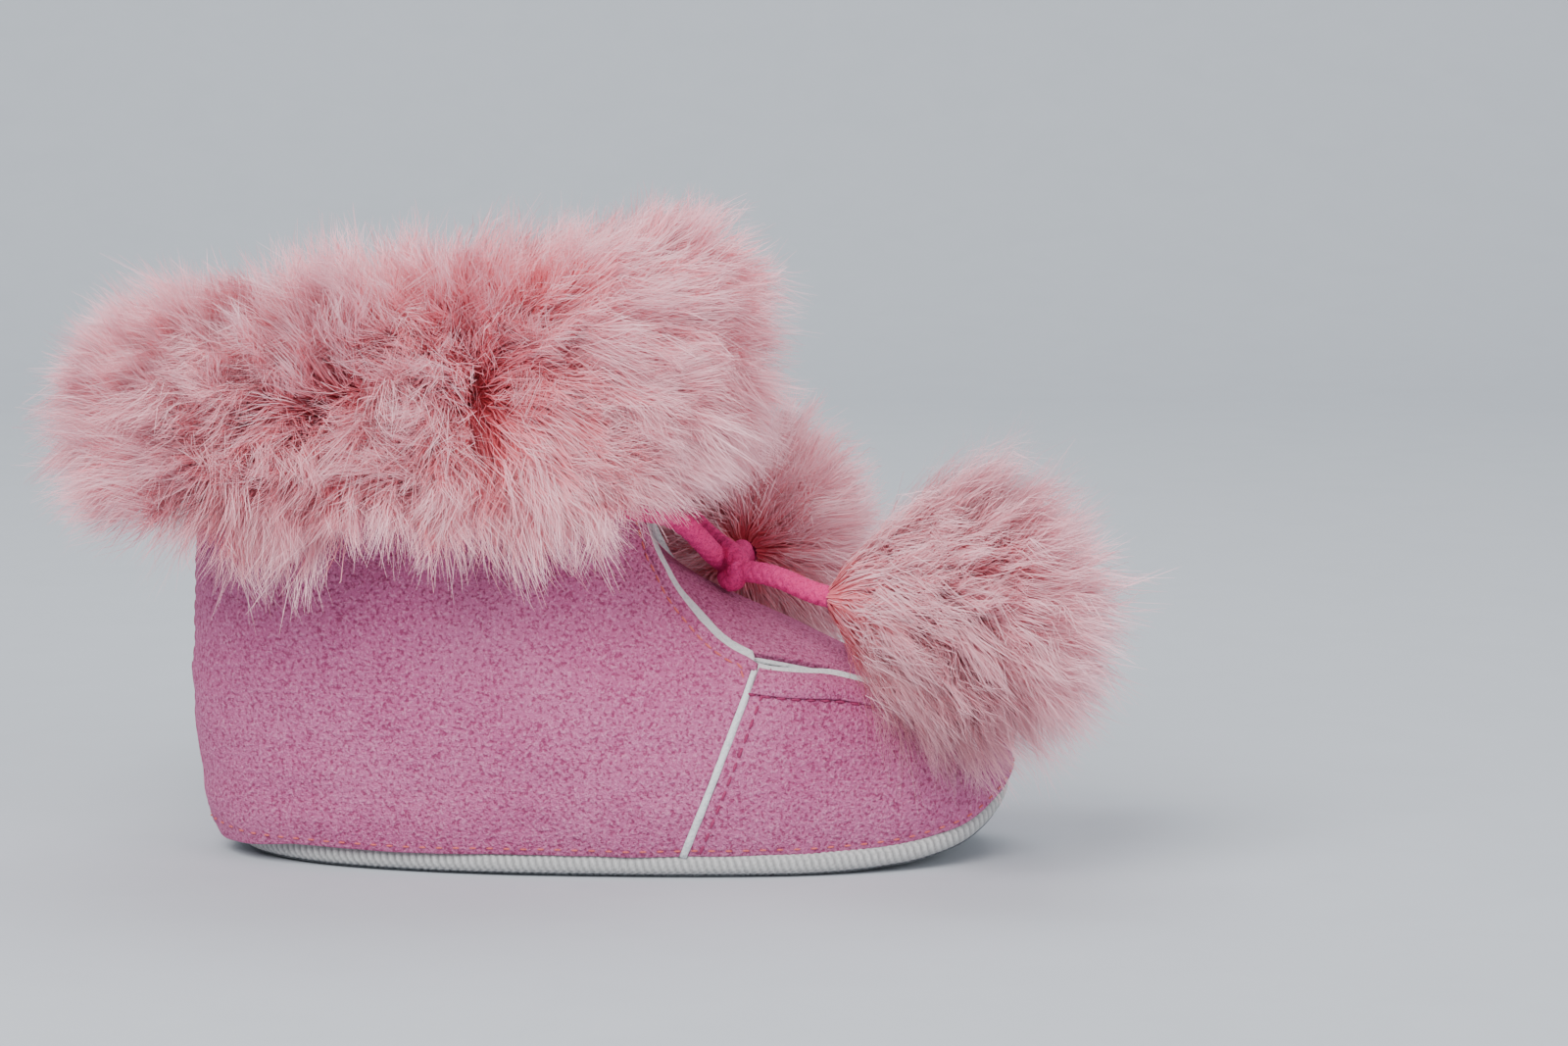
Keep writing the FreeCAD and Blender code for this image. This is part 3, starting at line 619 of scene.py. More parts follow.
SUEDE = cloth_material(
    "brushed_suede", srgb(181, 92, 137), srgb(128, 28, 76), srgb(224, 150, 186),
    0.00058, (0.7, 0.5), (1.0, 0.0005), 0.95, 0.2)
LINING_GAP = 0.15
QUARTER_RUMPLE, QUARTER_SEEDS = 1.15, {"near": 1, "far": 2}
quarter_edges, quarter_faces = {}, {}
for side, way in (("near", -1.0), ("far", 1.0)):
    seed = QUARTER_SEEDS[side]
    quarter = rumpled(quarter_grid(way), QUARTER_RUMPLE, seed)
    quarter_edges[side], quarter_faces[side] = quarter[:, -1].copy(), quarter
    piece = sheet_piece("quarter_%s_suede" % side, quarter, SUEDE, SUEDE_THICKNESS, 0.25)
    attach(piece, "root")
    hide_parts("quarter_" + side)
    lining = quarter_grid(
        way, SUEDE_THICKNESS + LINING_GAP, (1.0, 0.9), bottom=3.9, rows=70, columns=90)
    lining = rumpled(lining, QUARTER_RUMPLE, seed)
    piece = sheet_piece("quarter_lining_%s_felt" % side, lining, WHITE_FELT, FELT_THICKNESS, 0.3)
    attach(piece, "root")
    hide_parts("quarter_lining_" + side)

# The toe piece runs from one side seam round the toe to the other. Its top line is
# where the boot form passes the throat line, which leaves the open U over the instep.
VAMP_BELOW, VAMP_ABOVE, VAMP_SHIFT = 3.4, 40.0, 1.1
VAMP_RUMPLE, VAMP_SEED = 0.8, 4
TOP_LINE = THROAT_LINE[5:]


def vamp_top(u, inset, shift, rise):
    """Height of the toe piece's top line for each share u of the way round."""
    low = np.full_like(u, 12.0)
    high = np.full_like(u, VAMP_ABOVE)
    for _ in range(40):
        middle = (low + high) / 2
        point = vamp_point(u, middle, inset, shift)
        over = middle > smooth_read(TOP_LINE, 1, point[..., 0]) + rise
        high = np.where(over, middle, high)
        low = np.where(over, low, middle)
    return (low + high) / 2


def vamp_point(u, z, inset, shift):
    seam_turn = turn_at(seam_x(z, shift), z, inset)
    turn = math.pi - np.abs(u) * (math.pi - seam_turn)
    point = boot_point(turn, z, inset)
    point[..., 1] *= np.where(u < 0, -1.0, 1.0)
    return point


def vamp_grid(inset=0.0, shift=VAMP_SHIFT, rise=0.0, bottom=VAMP_BELOW, rows=64, columns=240):
    u, v = np.meshgrid(np.linspace(-1.0, 1.0, columns), np.linspace(0.0, 1.0, rows))
    high = np.minimum(vamp_top(u[0], inset, shift, rise), SEAM_HEAD[1] + 0.6)[None, :]
    z = 12.0 * v
    for _ in range(12):
        x = vamp_point(u, z, inset, shift)[..., 0]
        low = smooth_read(ROCKER, 1, x) + bottom
        z = low + (high - low) * v
    return vamp_point(u, z, inset, shift)


vamp = rumpled(vamp_grid(), VAMP_RUMPLE, VAMP_SEED)
piece = sheet_piece("vamp_suede", vamp, SUEDE, SUEDE_THICKNESS, 0.25)
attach(piece, "root")
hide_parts("vamp")
vamp_lining = vamp_grid(
    SUEDE_THICKNESS + LINING_GAP, -4.0, 0.3, bottom=3.9, rows=44, columns=160)
vamp_lining = rumpled(vamp_lining, VAMP_RUMPLE, VAMP_SEED)
piece = sheet_piece("vamp_lining_felt", vamp_lining, WHITE_FELT, FELT_THICKNESS, 0.3)
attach(piece, "root")
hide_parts("vamp_lining")

# ------------------------------------------------------------------ facing and bindings
# The vamp's top line is faced with a folded suede band; the throat edges carry a
# narrow rolled suede edge, and inside it a second layer of felt.
FACING_HEIGHT = 3.6
facing_share = np.linspace(0.0, 1.0, 11)
facing_rows = []
vamp_u = np.linspace(-1.0, 1.0, 240)
top_heights = vamp_top(vamp_u, 0.0, VAMP_SHIFT, 0.0)
for share in facing_share:
    swell = 0.75 * math.sin(math.pi * min(max(share, 0.06), 0.94)) ** 0.35
    height = top_heights + 0.25 - FACING_HEIGHT * (1 - share)
    facing_rows.append(vamp_point(vamp_u, height, -swell, 0.9))
facing = rumpled(np.array(facing_rows), VAMP_RUMPLE, VAMP_SEED)
piece = sheet_piece("vamp_facing_band", facing, SUEDE, 0.9, 0.2)
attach(piece, "root")
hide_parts("vamp_facing")


def edge_roll(name, line, normals, radius, flat, material, ring=12):
    """A soft roll along an edge; flat squeezes it across the surface's normal."""
    count = len(line)
    tangents = np.gradient(line, axis=0)
    tangents /= np.linalg.norm(tangents, axis=1)[:, None]
    side = np.cross(tangents, normals)
    side /= np.linalg.norm(side, axis=1)[:, None]
    angles = np.linspace(0.0, 2 * math.pi, ring, endpoint=False)
    wander = 1.0 + 0.12 * soft_noise(line, 2.2, 8)
    wide = (radius * wander)[:, None, None] * np.cos(angles)[None, :, None]
    high = (radius * flat * wander)[:, None, None] * np.sin(angles)[None, :, None]
    rings = line[:, None, :] + wide * side[:, None, :] + high * normals[:, None, :]
    faces = grid_faces(count, ring, closed=True, flip=True)
    faces.append(tuple(range(ring)))
    faces.append(tuple(reversed(range((count - 1) * ring, count * ring))))
    return mesh_piece(name, to_metres(rings.reshape(-1, 3)), faces, material)


def side_normals(line, way):
    """Outward normals of the boot form beside its side seams and throat edges."""
    normals = line - np.array([40.0, 0.0, 18.0])
    normals[:, 0] *= 0.25
    normals[:, 2] *= 0.25
    normals[:, 1] = way * np.abs(normals[:, 1])
    return normals / np.linalg.norm(normals, axis=1)[:, None]


seam_lines = {}
throat_lines = {}
for side, way in (("near", -1.0), ("far", 1.0)):
    edge = quarter_edges[side]
    seam = edge[edge[:, 2] <= SEAM_HEAD[1] - 0.2]
    throat = edge[edge[:, 2] >= SEAM_HEAD[1] - 1.0]
    seam_lines[side], throat_lines[side] = seam, throat
    seam_normals = side_normals(seam, way)
    strip = edge_roll(
        "side_seam_edge_%s_felt" % side, seam + np.array([0.55, 0.0, 0.0]) - seam_normals * 0.15,
        seam_normals, 0.6, 0.75, WHITE_FELT)
    roll = edge_roll(
        "throat_roll_" + side, throat, side_normals(throat, way), 0.8, 0.8, SUEDE)
    felt = quarter_grid(way, 3.5, (1.9, 1.7), bottom=20.0, rows=90, columns=120)
    felt = rumpled(felt[20:, 84:], QUARTER_RUMPLE, QUARTER_SEEDS[side])
    inner = sheet_piece("throat_felt_%s_layer" % side, felt, WHITE_FELT, 0.9, 0.2)
    for piece, node, slot in (
        (strip, "side_seam_edge_" + side, "white_felt"),
        (roll, "throat_binding_" + side, "suede"),
        (inner, "throat_felt_" + side, "white_felt"),
    ):
        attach(piece, "root")
        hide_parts(node)

# ------------------------------------------------------------------ tongue
# A domed suede strip backed with felt, sewn under the toe piece's top line. It lies
# under the lace and ends inside the cuff.
TONGUE = np.array([
    (0.0, 103.0, 25.0, 8.0, 1.0), (9.7, 95.0, 30.0, 12.0, 1.8), (20.4, 86.0, 34.6, 14.0, 4.0),
    (30.8, 76.6, 38.8, 14.6, 6.6), (42.2, 66.6, 44.6, 14.0, 7.6), (53.1, 59.4, 53.2, 13.0, 6.8),
    (62.4, 56.0, 62.0, 12.0, 6.0),
])


def tongue_grid(lift, rows=90, columns=60):
    v, u = np.meshgrid(
        np.linspace(0.0, TONGUE[-1, 0], rows), np.linspace(-1.0, 1.0, columns), indexing="ij")
    x = smooth_read(TONGUE, 1, v)
    z = smooth_read(TONGUE, 2, v)
    slope_x = np.gradient(x, axis=0)
    slope_z = np.gradient(z, axis=0)
    length = np.hypot(slope_x, slope_z)
    up_x, up_z = slope_z / length, -slope_x / length
    dome = smooth_read(TONGUE, 4, v) * u ** 2
    half = smooth_read(TONGUE, 3, v)
    return np.stack([x + up_x * (lift - dome), half * u, z + up_z * (lift - dome)], axis=-1)


for name, lift, thickness, material, node, slot in (
    ("tongue_suede", 1.2, 1.1, SUEDE, "tongue", "suede"),
    ("tongue_lining_felt", 0.0, 1.0, WHITE_FELT, "tongue_lining", "white_felt"),
):
    grid = tongue_grid(lift)
    sway = soft_noise(grid.reshape(-1, 3), 9.0, 9).reshape(grid.shape[:2]) * 0.45
    grid[..., 2] += sway
    piece = sheet_piece(name, grid, material, thickness, 0.25)
    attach(piece, "root")
    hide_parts(node)

# ------------------------------------------------------------------ stitches
# Sewing thread in short straight stitches, each sunk a little into the suede. One
# tree lays a stitch at even steps along a line.
THREAD_RADIUS = 0.22
STITCH_LENGTH, STITCH_STEP = 1.7, 2.3


def link_node(tree, kind, inputs=(), **settings):
    """A node with its settings, its input values and its links."""
    node = tree.nodes.new(kind)
    for key, value in settings.items():
        setattr(node, key, value)
    for key, value in dict(inputs).items():
        if isinstance(value, bpy.types.NodeSocket):
            tree.links.new(value, node.inputs[key])
        else:
            node.inputs[key].default_value = value
    return node


def new_tree(name, inputs):
    """A geometry tree with named inputs: label, socket type and value."""
    tree = bpy.data.node_groups.new(name, "GeometryNodeTree")
    face = tree.interface
    face.new_socket("Geometry", in_out="INPUT", socket_type="NodeSocketGeometry")
    for label, kind, value in inputs:
        socket = face.new_socket(label, in_out="INPUT", socket_type=kind)
        if value is not None:
            socket.default_value = value
    face.new_socket("Geometry", in_out="OUTPUT", socket_type="NodeSocketGeometry")
    return tree, tree.nodes.new("NodeGroupInput"), tree.nodes.new("NodeGroupOutput")


def grown_piece(name, base, tree, values):
    """The plain mesh that a tree makes of a base mesh, as a new piece."""
    modifier = base.modifiers.new("growth", "NODES")
    modifier.node_group = tree
    for item in tree.interface.items_tree:
        if item.item_type == "SOCKET" and item.in_out == "INPUT" and item.name in values:
            modifier[item.identifier] = values[item.name]
    evaluated = base.evaluated_get(bpy.context.evaluated_depsgraph_get())
    mesh = bpy.data.meshes.new_from_object(evaluated)
    base.modifiers.remove(modifier)
    mesh.name = name
    piece = bpy.data.objects.new(name, mesh)
    bpy.context.scene.collection.objects.link(piece)
    return piece


def stitch_tree():
    tree, given, result = new_tree("stitch_row", (
        ("Step", "NodeSocketFloat", 0.0023),
        ("Length", "NodeSocketFloat", 0.0017),
        ("Radius", "NodeSocketFloat", 0.00017),
        ("Thread", "NodeSocketMaterial", None),
    ))
    curve = link_node(tree, "GeometryNodeMeshToCurve", {"Mesh": given.outputs["Geometry"]})
    spaced = link_node(
        tree, "GeometryNodeResampleCurve",
        {"Curve": curve.outputs["Curve"], "Length": given.outputs["Step"]}, mode="LENGTH")
    stitch = link_node(
        tree, "GeometryNodeMeshUVSphere", {"Segments": 8, "Rings": 6, "Radius": 1.0})
    tangent = link_node(tree, "GeometryNodeInputTangent")
    turned = link_node(
        tree, "FunctionNodeAlignRotationToVector", {"Vector": tangent.outputs[0]}, axis="X")
    half = link_node(
        tree, "ShaderNodeMath", {0: given.outputs["Length"], 1: 0.5}, operation="MULTIPLY")
    size = link_node(tree, "ShaderNodeCombineXYZ", {
        "X": half.outputs[0], "Y": given.outputs["Radius"], "Z": given.outputs["Radius"]})
    laid = link_node(tree, "GeometryNodeInstanceOnPoints", {
        "Points": spaced.outputs["Curve"], "Instance": stitch.outputs["Mesh"],
        "Rotation": turned.outputs[0], "Scale": size.outputs[0]})
    real = link_node(
        tree, "GeometryNodeRealizeInstances", {"Geometry": laid.outputs["Instances"]})
    smooth = link_node(tree, "GeometryNodeSetShadeSmooth", {"Geometry": real.outputs["Geometry"]})
    dyed = link_node(tree, "GeometryNodeSetMaterial", {
        "Geometry": smooth.outputs["Geometry"], "Material": given.outputs["Thread"]})
    tree.links.new(dyed.outputs["Geometry"], result.inputs["Geometry"])
    return tree


STITCH_TREE = stitch_tree()


def surface_of(*grids):
    """A search tree over the worked faces of some pieces, in millimetres."""
    points, faces = [], []
    for grid in grids:
        start = len(points)
        rows, columns = grid.shape[:2]
        points += [tuple(p) for p in grid.reshape(-1, 3)]
        faces += [tuple(k + start for k in face) for face in grid_faces(rows, columns)]
    return BVHTree.FromPolygons(points, faces)


def laid_on(line, surface, lift):
    """The line moved onto the nearest place of a surface and raised a little."""
    laid = []
    for point in line:
        place, normal, _, _ = surface.find_nearest(Vector(point))
        away = Vector((place.x - 45.0, 3.0 * place.y, place.z - 18.0))
        if normal.dot(away) < 0:
            normal = -normal
        laid.append(tuple(place + normal * lift))
    return np.array(laid)


THREAD_PINK = cloth_material(
    "pink_thread", srgb(150, 48, 92), srgb(100, 22, 56), srgb(186, 84, 126),
    0.0002, (0.5, 0.4), (0.4, 0.00005), 0.7, 0.1)
THREAD_CORAL = cloth_material(
    "coral_thread", srgb(206, 92, 92), srgb(140, 44, 52), srgb(230, 140, 130),
    0.0002, (0.5, 0.4), (0.4, 0.00005), 0.7, 0.1)


def stitch_row(name, line, material, step=STITCH_STEP, length=STITCH_LENGTH, radius=THREAD_RADIUS):
    """A row of stitches along a line given in millimetres."""
    mesh = bpy.data.meshes.new(name + "_line")
    edges = [(k, k + 1) for k in range(len(line) - 1)]
    mesh.from_pydata([tuple(p) for p in to_metres(line)], edges, [])
    base = bpy.data.objects.new(name + "_line", mesh)
    bpy.context.scene.collection.objects.link(base)
    piece = grown_piece(name, base, STITCH_TREE, {
        "Step": step * MM, "Length": length * MM, "Radius": radius * MM, "Thread": material})
    bpy.data.objects.remove(base)
    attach(piece, "root")
    return piece


def vamp_line(depth):
    """A line on the toe piece at a depth below its top line."""
    u = np.linspace(-1.0, 1.0, 200)
    return vamp_point(u, vamp_top(u, 0.0, VAMP_SHIFT, 0.0) - depth, 0.0, VAMP_SHIFT)


def seam_row(way, shift):
    """A line up the side seam, moved towards the toe."""
    z = np.linspace(4.6, SEAM_HEAD[1] - 1.2, 60)
    x = seam_x(z, shift)
    point = boot_point(turn_at(x, z), z)
    point[:, 1] *= way
    return point


SEWN_LIFT = 0.12
whole_upper = surface_of(vamp, quarter_faces["near"], quarter_faces["far"])
toe_piece = surface_of(vamp)
for side, way in (("near", -1.0), ("far", 1.0)):
    ankle_piece = surface_of(quarter_faces[side])
    seam = laid_on(seam_row(way, 2.9), toe_piece, SEWN_LIFT)
    stitch_row("side_seam_stitches_" + side, seam, THREAD_PINK)
    throat = throat_lines[side]
    inward = laid_on(throat + np.array([-1.6, 0.0, -1.2]), ankle_piece, SEWN_LIFT)
    stitch_row("throat_stitches_" + side, inward, THREAD_CORAL, 1.9, 1.5, 0.16)
top_row = laid_on(vamp_line(FACING_HEIGHT + 0.1), toe_piece, SEWN_LIFT)
stitch_row("top_line_stitches", top_row, THREAD_PINK)

SOLE_TURNS = np.linspace(0.02, math.pi - 0.02, 260)
rim_seam = boot_point(SOLE_TURNS, np.full(len(SOLE_TURNS), 6.0))
for _ in range(3):
    rim_seam = boot_point(SOLE_TURNS, smooth_read(ROCKER, 1, rim_seam[:, 0]) + RIM_HEIGHT + 0.9)
for side, way in (("near", -1.0), ("far", 1.0)):
    line = laid_on(rim_seam * np.array([1.0, way, 1.0]), whole_upper, SEWN_LIFT)
    stitch_row("sole_seam_stitches_" + side, line, THREAD_CORAL, 2.6, 1.1, 0.15)

heel_line = boot_point(np.full(80, 0.0), np.linspace(5.0, 46.0, 80))
for side, way in (("near", -1.0), ("far", 1.0)):
    line = laid_on(heel_line + np.array([0.1, way * 1.6, 0.0]), whole_upper, 0.0)
    stitch_row("heel_seam_stitches_" + side, line, THREAD_PINK, radius=0.14)

# ------------------------------------------------------------------ cuff backing
# A band of faux fur folded over wadding and sewn to the ankle with the lace inside the
# fold. Its knitted backing is a closed ring with a rounded top and its ends at the front.
CUFF_BASE, CUFF_TOP, CUFF_INSIDE_END = 50.0, 29.0, 9.0
CUFF_OUT, CUFF_IN = 5.2, -3.2
ANKLE_HALF_LENGTH, ANKLE_HALF_WIDTH = 34.0, 20.0
CUFF_BOTTOM = np.array([
    (-40.0, 62.0), (-20.0, 61.0), (-6.0, 60.5), (8.0, 61.0), (20.0, 61.5), (34.0, 61.5),
    (44.0, 62.0), (54.0, 62.0), (61.0, 66.0), (75.0, 69.0), (95.0, 71.0),
])
FRONT_GAP = math.radians(3.0)


def cuff_point(angle, outset, height):
    """A point of the cuff's ring; height counts along the cuff above its base."""
    x = ANKLE_X + (ANKLE_HALF_LENGTH + outset) * np.cos(angle)
    y = (ANKLE_HALF_WIDTH + outset) * np.sin(angle)
    z = CUFF_BASE + height / math.cos(CUFF_LEAN) + CUFF_SLOPE * (x - ANKLE_X)
    return np.stack([x, y, z], axis=-1)


def cuff_section(angle, share):
    """The folded band's section: up the outside, over the top, down the inside."""
    outer = cuff_point(angle, CUFF_OUT, 0.0)
    base = (smooth_read(CUFF_BOTTOM, 1, outer[..., 0]) - outer[..., 2]) * math.cos(CUFF_LEAN)
    fold = (CUFF_OUT - CUFF_IN) / 2
    up, over, down = 0.55, 0.75, 1.0
    rise = np.clip(share / up, 0.0, 1.0)
    bend = np.clip((share - up) / (over - up), 0.0, 1.0) * math.pi
    drop = np.clip((share - over) / (down - over), 0.0, 1.0)
    outset = (CUFF_OUT + CUFF_IN) / 2 + fold * np.cos(bend)
    height = base + (CUFF_TOP - base) * rise + fold * np.sin(bend)
    height = height - drop * (CUFF_TOP - CUFF_INSIDE_END)
    return cuff_point(angle, outset, height)


def cuff_skin(low_angle, high_angle, low_share, high_share, rows, columns):
    angle, share = np.meshgrid(
        np.linspace(low_angle, high_angle, columns), np.linspace(low_share, high_share, rows))
    return cuff_section(angle, share), angle, share


BACKING = cloth_material(
    "knitted_backing", srgb(196, 104, 112), srgb(140, 60, 70), srgb(222, 150, 152),
    0.0009, (0.5, 0.4), (0.7, 0.0004), 0.95, 0.3)
skin, _, _ = cuff_skin(FRONT_GAP, 2 * math.pi - FRONT_GAP, 0.0, 1.0, 26, 90)
backing = mesh_piece(
    "cuff_knitted_backing", to_metres(skin.reshape(-1, 3)), grid_faces(*skin.shape[:2]), BACKING)
wall = backing.modifiers.new("thickness", "SOLIDIFY")
wall.thickness = 0.9 * MM
wall.offset = -1.0
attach(backing, "root")
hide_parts("cuff_backing", "cuff_core")

# ------------------------------------------------------------------ fur of the cuff
# Long soft pile, coral at the roots and nearly white at the tips, that clings together
# in locks. One tree grows a tapered, bent hair at each root on the backing.
# The paler tones towards the tips are partly the pile's own tipping and partly painted sheen, the
# whitish haze of light on the tips.
FUR_TONES = [
    ("fur_root", srgb(238, 112, 122), 0.85),
    ("fur_low", srgb(246, 128, 140), 0.8),
    ("fur_middle", srgb(254, 160, 172), 0.75),
    ("fur_high", srgb(255, 182, 193), 0.7),
    ("fur_tip", srgb(255, 205, 214), 0.65),
]
FUR_MATERIALS = []
for name, colour, roughness in FUR_TONES:
    material, shader = new_material(name, roughness, 0.06, (1.0, 0.85, 0.87, 1.0))
    shader.inputs["Base Color"].default_value = colour
    FUR_MATERIALS.append(material)
HAIR_SEGMENTS = 4
HAIR_MARKS = (
    "root", "lean", "breadth", "pull", "span", "tone", "across", "along", "comb", "pile")
HAIRS_PER_PIECE = 23500


def fur_tree():
    tree, given, result = new_tree("fur_pile", (
        ("Density", "NodeSocketFloat", 1000.0),
        ("Seed", "NodeSocketInt", 1),
        ("Length", "NodeSocketFloat", 0.02),
        ("Width", "NodeSocketFloat", 0.0002),
        ("Lock Size", "NodeSocketFloat", 0.009),
        ("Wisp Size", "NodeSocketFloat", 0.0025),
        ("Cling", "NodeSocketFloat", 0.6),
        ("Swirl Size", "NodeSocketFloat", 0.02),
        ("Swirl", "NodeSocketFloat", 1.2),
        ("Fuzz", "NodeSocketFloat", 0.25),
        ("Lift", "NodeSocketFloat", 0.8),
        ("Sag", "NodeSocketVector", (0.0, 0.0, -0.2)),
    ))

    def vector(operation, first, second=None):
        inputs = {0: first}
        if second is not None:
            inputs["Scale" if operation == "SCALE" else 1] = second
        return link_node(tree, "ShaderNodeVectorMath", inputs, operation=operation).outputs[
            "Value" if operation in ("DOT_PRODUCT", "LENGTH") else "Vector"]

    def number(operation, first, second=0.0):
        return link_node(
            tree, "ShaderNodeMath", {0: first, 1: second}, operation=operation).outputs[0]

    def keep(geometry, name, value, kind):
        return link_node(
            tree, "GeometryNodeStoreNamedAttribute",
            {"Geometry": geometry, "Name": name, "Value": value},
            data_type=kind, domain="POINT").outputs["Geometry"]

    def read(name, kind):
        return link_node(
            tree, "GeometryNodeInputNamedAttribute", {"Name": name}, data_type=kind
        ).outputs["Attribute"]

    roots = link_node(tree, "GeometryNodeDistributePointsOnFaces", {
        "Mesh": given.outputs["Geometry"], "Density": given.outputs["Density"],
        "Seed": given.outputs["Seed"]})
    place = link_node(tree, "GeometryNodeInputPosition").outputs[0]
    normal = roots.outputs["Normal"]
    lock_rate = number("DIVIDE", 1.0, given.outputs["Lock Size"])
    cells = link_node(tree, "ShaderNodeTexVoronoi", {"Vector": place, "Scale": lock_rate})
    centre = cells.outputs["Position"]
    wisps = link_node(tree, "ShaderNodeTexVoronoi", {
        "Vector": place, "Scale": number("DIVIDE", 1.0, given.outputs["Wisp Size"])})
    swirl_rate = number("DIVIDE", 1.0, given.outputs["Swirl Size"])
    flow = link_node(tree, "ShaderNodeTexNoise", {
        "Vector": centre, "Scale": swirl_rate, "Detail": 1.0})
    swirl = vector("SUBTRACT", flow.outputs["Color"], (0.5, 0.5, 0.5))
    swirl = vector("SCALE", swirl, number("MULTIPLY", given.outputs["Swirl"], 2.0))
    wisp_flow = link_node(tree, "ShaderNodeTexNoise", {
        "Vector": wisps.outputs["Position"], "Scale": number("MULTIPLY", swirl_rate, 3.0),
        "Detail": 1.0})
    wisp_flow = vector("SUBTRACT", wisp_flow.outputs["Color"], (0.5, 0.5, 0.5))
    swirl = vector("ADD", swirl, vector("SCALE", wisp_flow, given.outputs["Swirl"]))
    stray = link_node(
        tree, "FunctionNodeRandomValue", {0: (-1.0, -1.0, -1.0), 1: (1.0, 1.0, 1.0), "Seed": 7},
        data_type="FLOAT_VECTOR").outputs[0]
    stray = vector("SCALE", stray, given.outputs["Fuzz"])
    lean = vector("SCALE", normal, given.outputs["Lift"])
    lean = vector("ADD", lean, read("comb", "FLOAT_VECTOR"))
    lean = vector("ADD", lean, swirl)
    lean = vector("NORMALIZE", vector("ADD", lean, stray))
    uneven = link_node(
        tree, "FunctionNodeRandomValue", {2: 0.58, 3: 1.18, "Seed": 11},
        data_type="FLOAT").outputs[1]
    lock_noise = link_node(tree, "ShaderNodeTexNoise", {
        "Vector": centre, "Scale": number("MULTIPLY", swirl_rate, 2.3)})
    lock_long = number("ADD", number("MULTIPLY", lock_noise.outputs["Fac"], 0.9), 0.55)
    span = number("MULTIPLY", number("MULTIPLY", given.outputs["Length"], uneven), lock_long)
    span = number("MULTIPLY", span, read("pile", "FLOAT"))
    tone = link_node(
        tree, "FunctionNodeRandomValue", {2: -1.0, 3: 1.0, "Seed": 13},
        data_type="FLOAT").outputs[1]
    lock_tone = number("SUBTRACT", lock_noise.outputs["Fac"], 0.5)
    tone = number("ADD", number("MULTIPLY", tone, 0.16), number("MULTIPLY", lock_tone, 0.7))
    turned = vector("ADD", normal, vector("SCALE", stray, 2.5))
    breadth = vector("NORMALIZE", vector("CROSS_PRODUCT", lean, turned))
    points = roots.outputs["Points"]
    points = keep(points, "root", place, "FLOAT_VECTOR")
    points = keep(points, "lean", lean, "FLOAT_VECTOR")
    points = keep(points, "breadth", breadth, "FLOAT_VECTOR")
    pull = vector("SUBTRACT", wisps.outputs["Position"], place)
    points = keep(points, "pull", pull, "FLOAT_VECTOR")
    points = keep(points, "span", span, "FLOAT")
    points = keep(points, "tone", tone, "FLOAT")

    blade = link_node(tree, "GeometryNodeMeshGrid", {
        "Size X": 1.0, "Size Y": 1.0, "Vertices X": 2, "Vertices Y": HAIR_SEGMENTS + 1})
    parts = link_node(tree, "ShaderNodeSeparateXYZ", {0: place})
    hair = keep(blade.outputs["Mesh"], "across", parts.outputs["X"], "FLOAT")
    hair = keep(hair, "along", number("ADD", parts.outputs["Y"], 0.5), "FLOAT")
    laid = link_node(tree, "GeometryNodeInstanceOnPoints", {"Points": points, "Instance": hair})
    real = link_node(
        tree, "GeometryNodeRealizeInstances", {"Geometry": laid.outputs["Instances"]})

    along = read("along", "FLOAT")
    root = read("root", "FLOAT_VECTOR")
    length = read("span", "FLOAT")
    bent = number("POWER", along, 2.0)
    reach = vector("SCALE", read("lean", "FLOAT_VECTOR"), number("MULTIPLY", length, along))
    sag = vector("SCALE", given.outputs["Sag"], number("MULTIPLY", length, bent))
    gather = number("MULTIPLY", number("POWER", along, 1.25), given.outputs["Cling"])
    gather = vector("SCALE", read("pull", "FLOAT_VECTOR"), gather)
    waver_at = vector("ADD", vector("SCALE", root, 90.0), vector(
        "SCALE", read("lean", "FLOAT_VECTOR"), number("MULTIPLY", along, 1.3)))
    waver = link_node(
        tree, "ShaderNodeTexNoise", {"Vector": waver_at, "Scale": 2.5, "Detail": 1.0})
    waver = vector("SUBTRACT", waver.outputs["Color"], (0.5, 0.5, 0.5))
    waver = vector("SCALE", waver, number("MULTIPLY", number("MULTIPLY", length, along), 0.75))
    taper = number("SUBTRACT", 1.0, number("MULTIPLY", bent, 0.9))
    half = number("MULTIPLY", read("across", "FLOAT"), given.outputs["Width"])
    half = number("MULTIPLY", half, taper)
    path = vector("ADD", vector("ADD", root, reach), vector("ADD", sag, gather))
    path = vector("ADD", path, waver)
    path = vector("ADD", path, vector("SCALE", read("breadth", "FLOAT_VECTOR"), half))
    moved = link_node(tree, "GeometryNodeSetPosition", {
        "Geometry": real.outputs["Geometry"], "Position": path})
    smooth = link_node(tree, "GeometryNodeSetShadeSmooth", {"Geometry": moved.outputs["Geometry"]})
    geometry = smooth.outputs["Geometry"]
    shade = number("ADD", along, read("tone", "FLOAT"))
    for step, material in enumerate(FUR_MATERIALS):
        chosen = link_node(
            tree, "FunctionNodeCompare", {0: shade, 1: 0.2 * step if step else -1.0},
            data_type="FLOAT", operation="GREATER_THAN")
        dyed = link_node(tree, "GeometryNodeSetMaterial", {
            "Geometry": geometry, "Selection": chosen.outputs[0], "Material": material})
        geometry = dyed.outputs["Geometry"]
    for name in HAIR_MARKS:
        geometry = link_node(
            tree, "GeometryNodeRemoveAttribute", {"Geometry": geometry, "Name": name}
        ).outputs["Geometry"]
    tree.links.new(geometry, result.inputs["Geometry"])
    return tree


FUR_TREE = fur_tree()


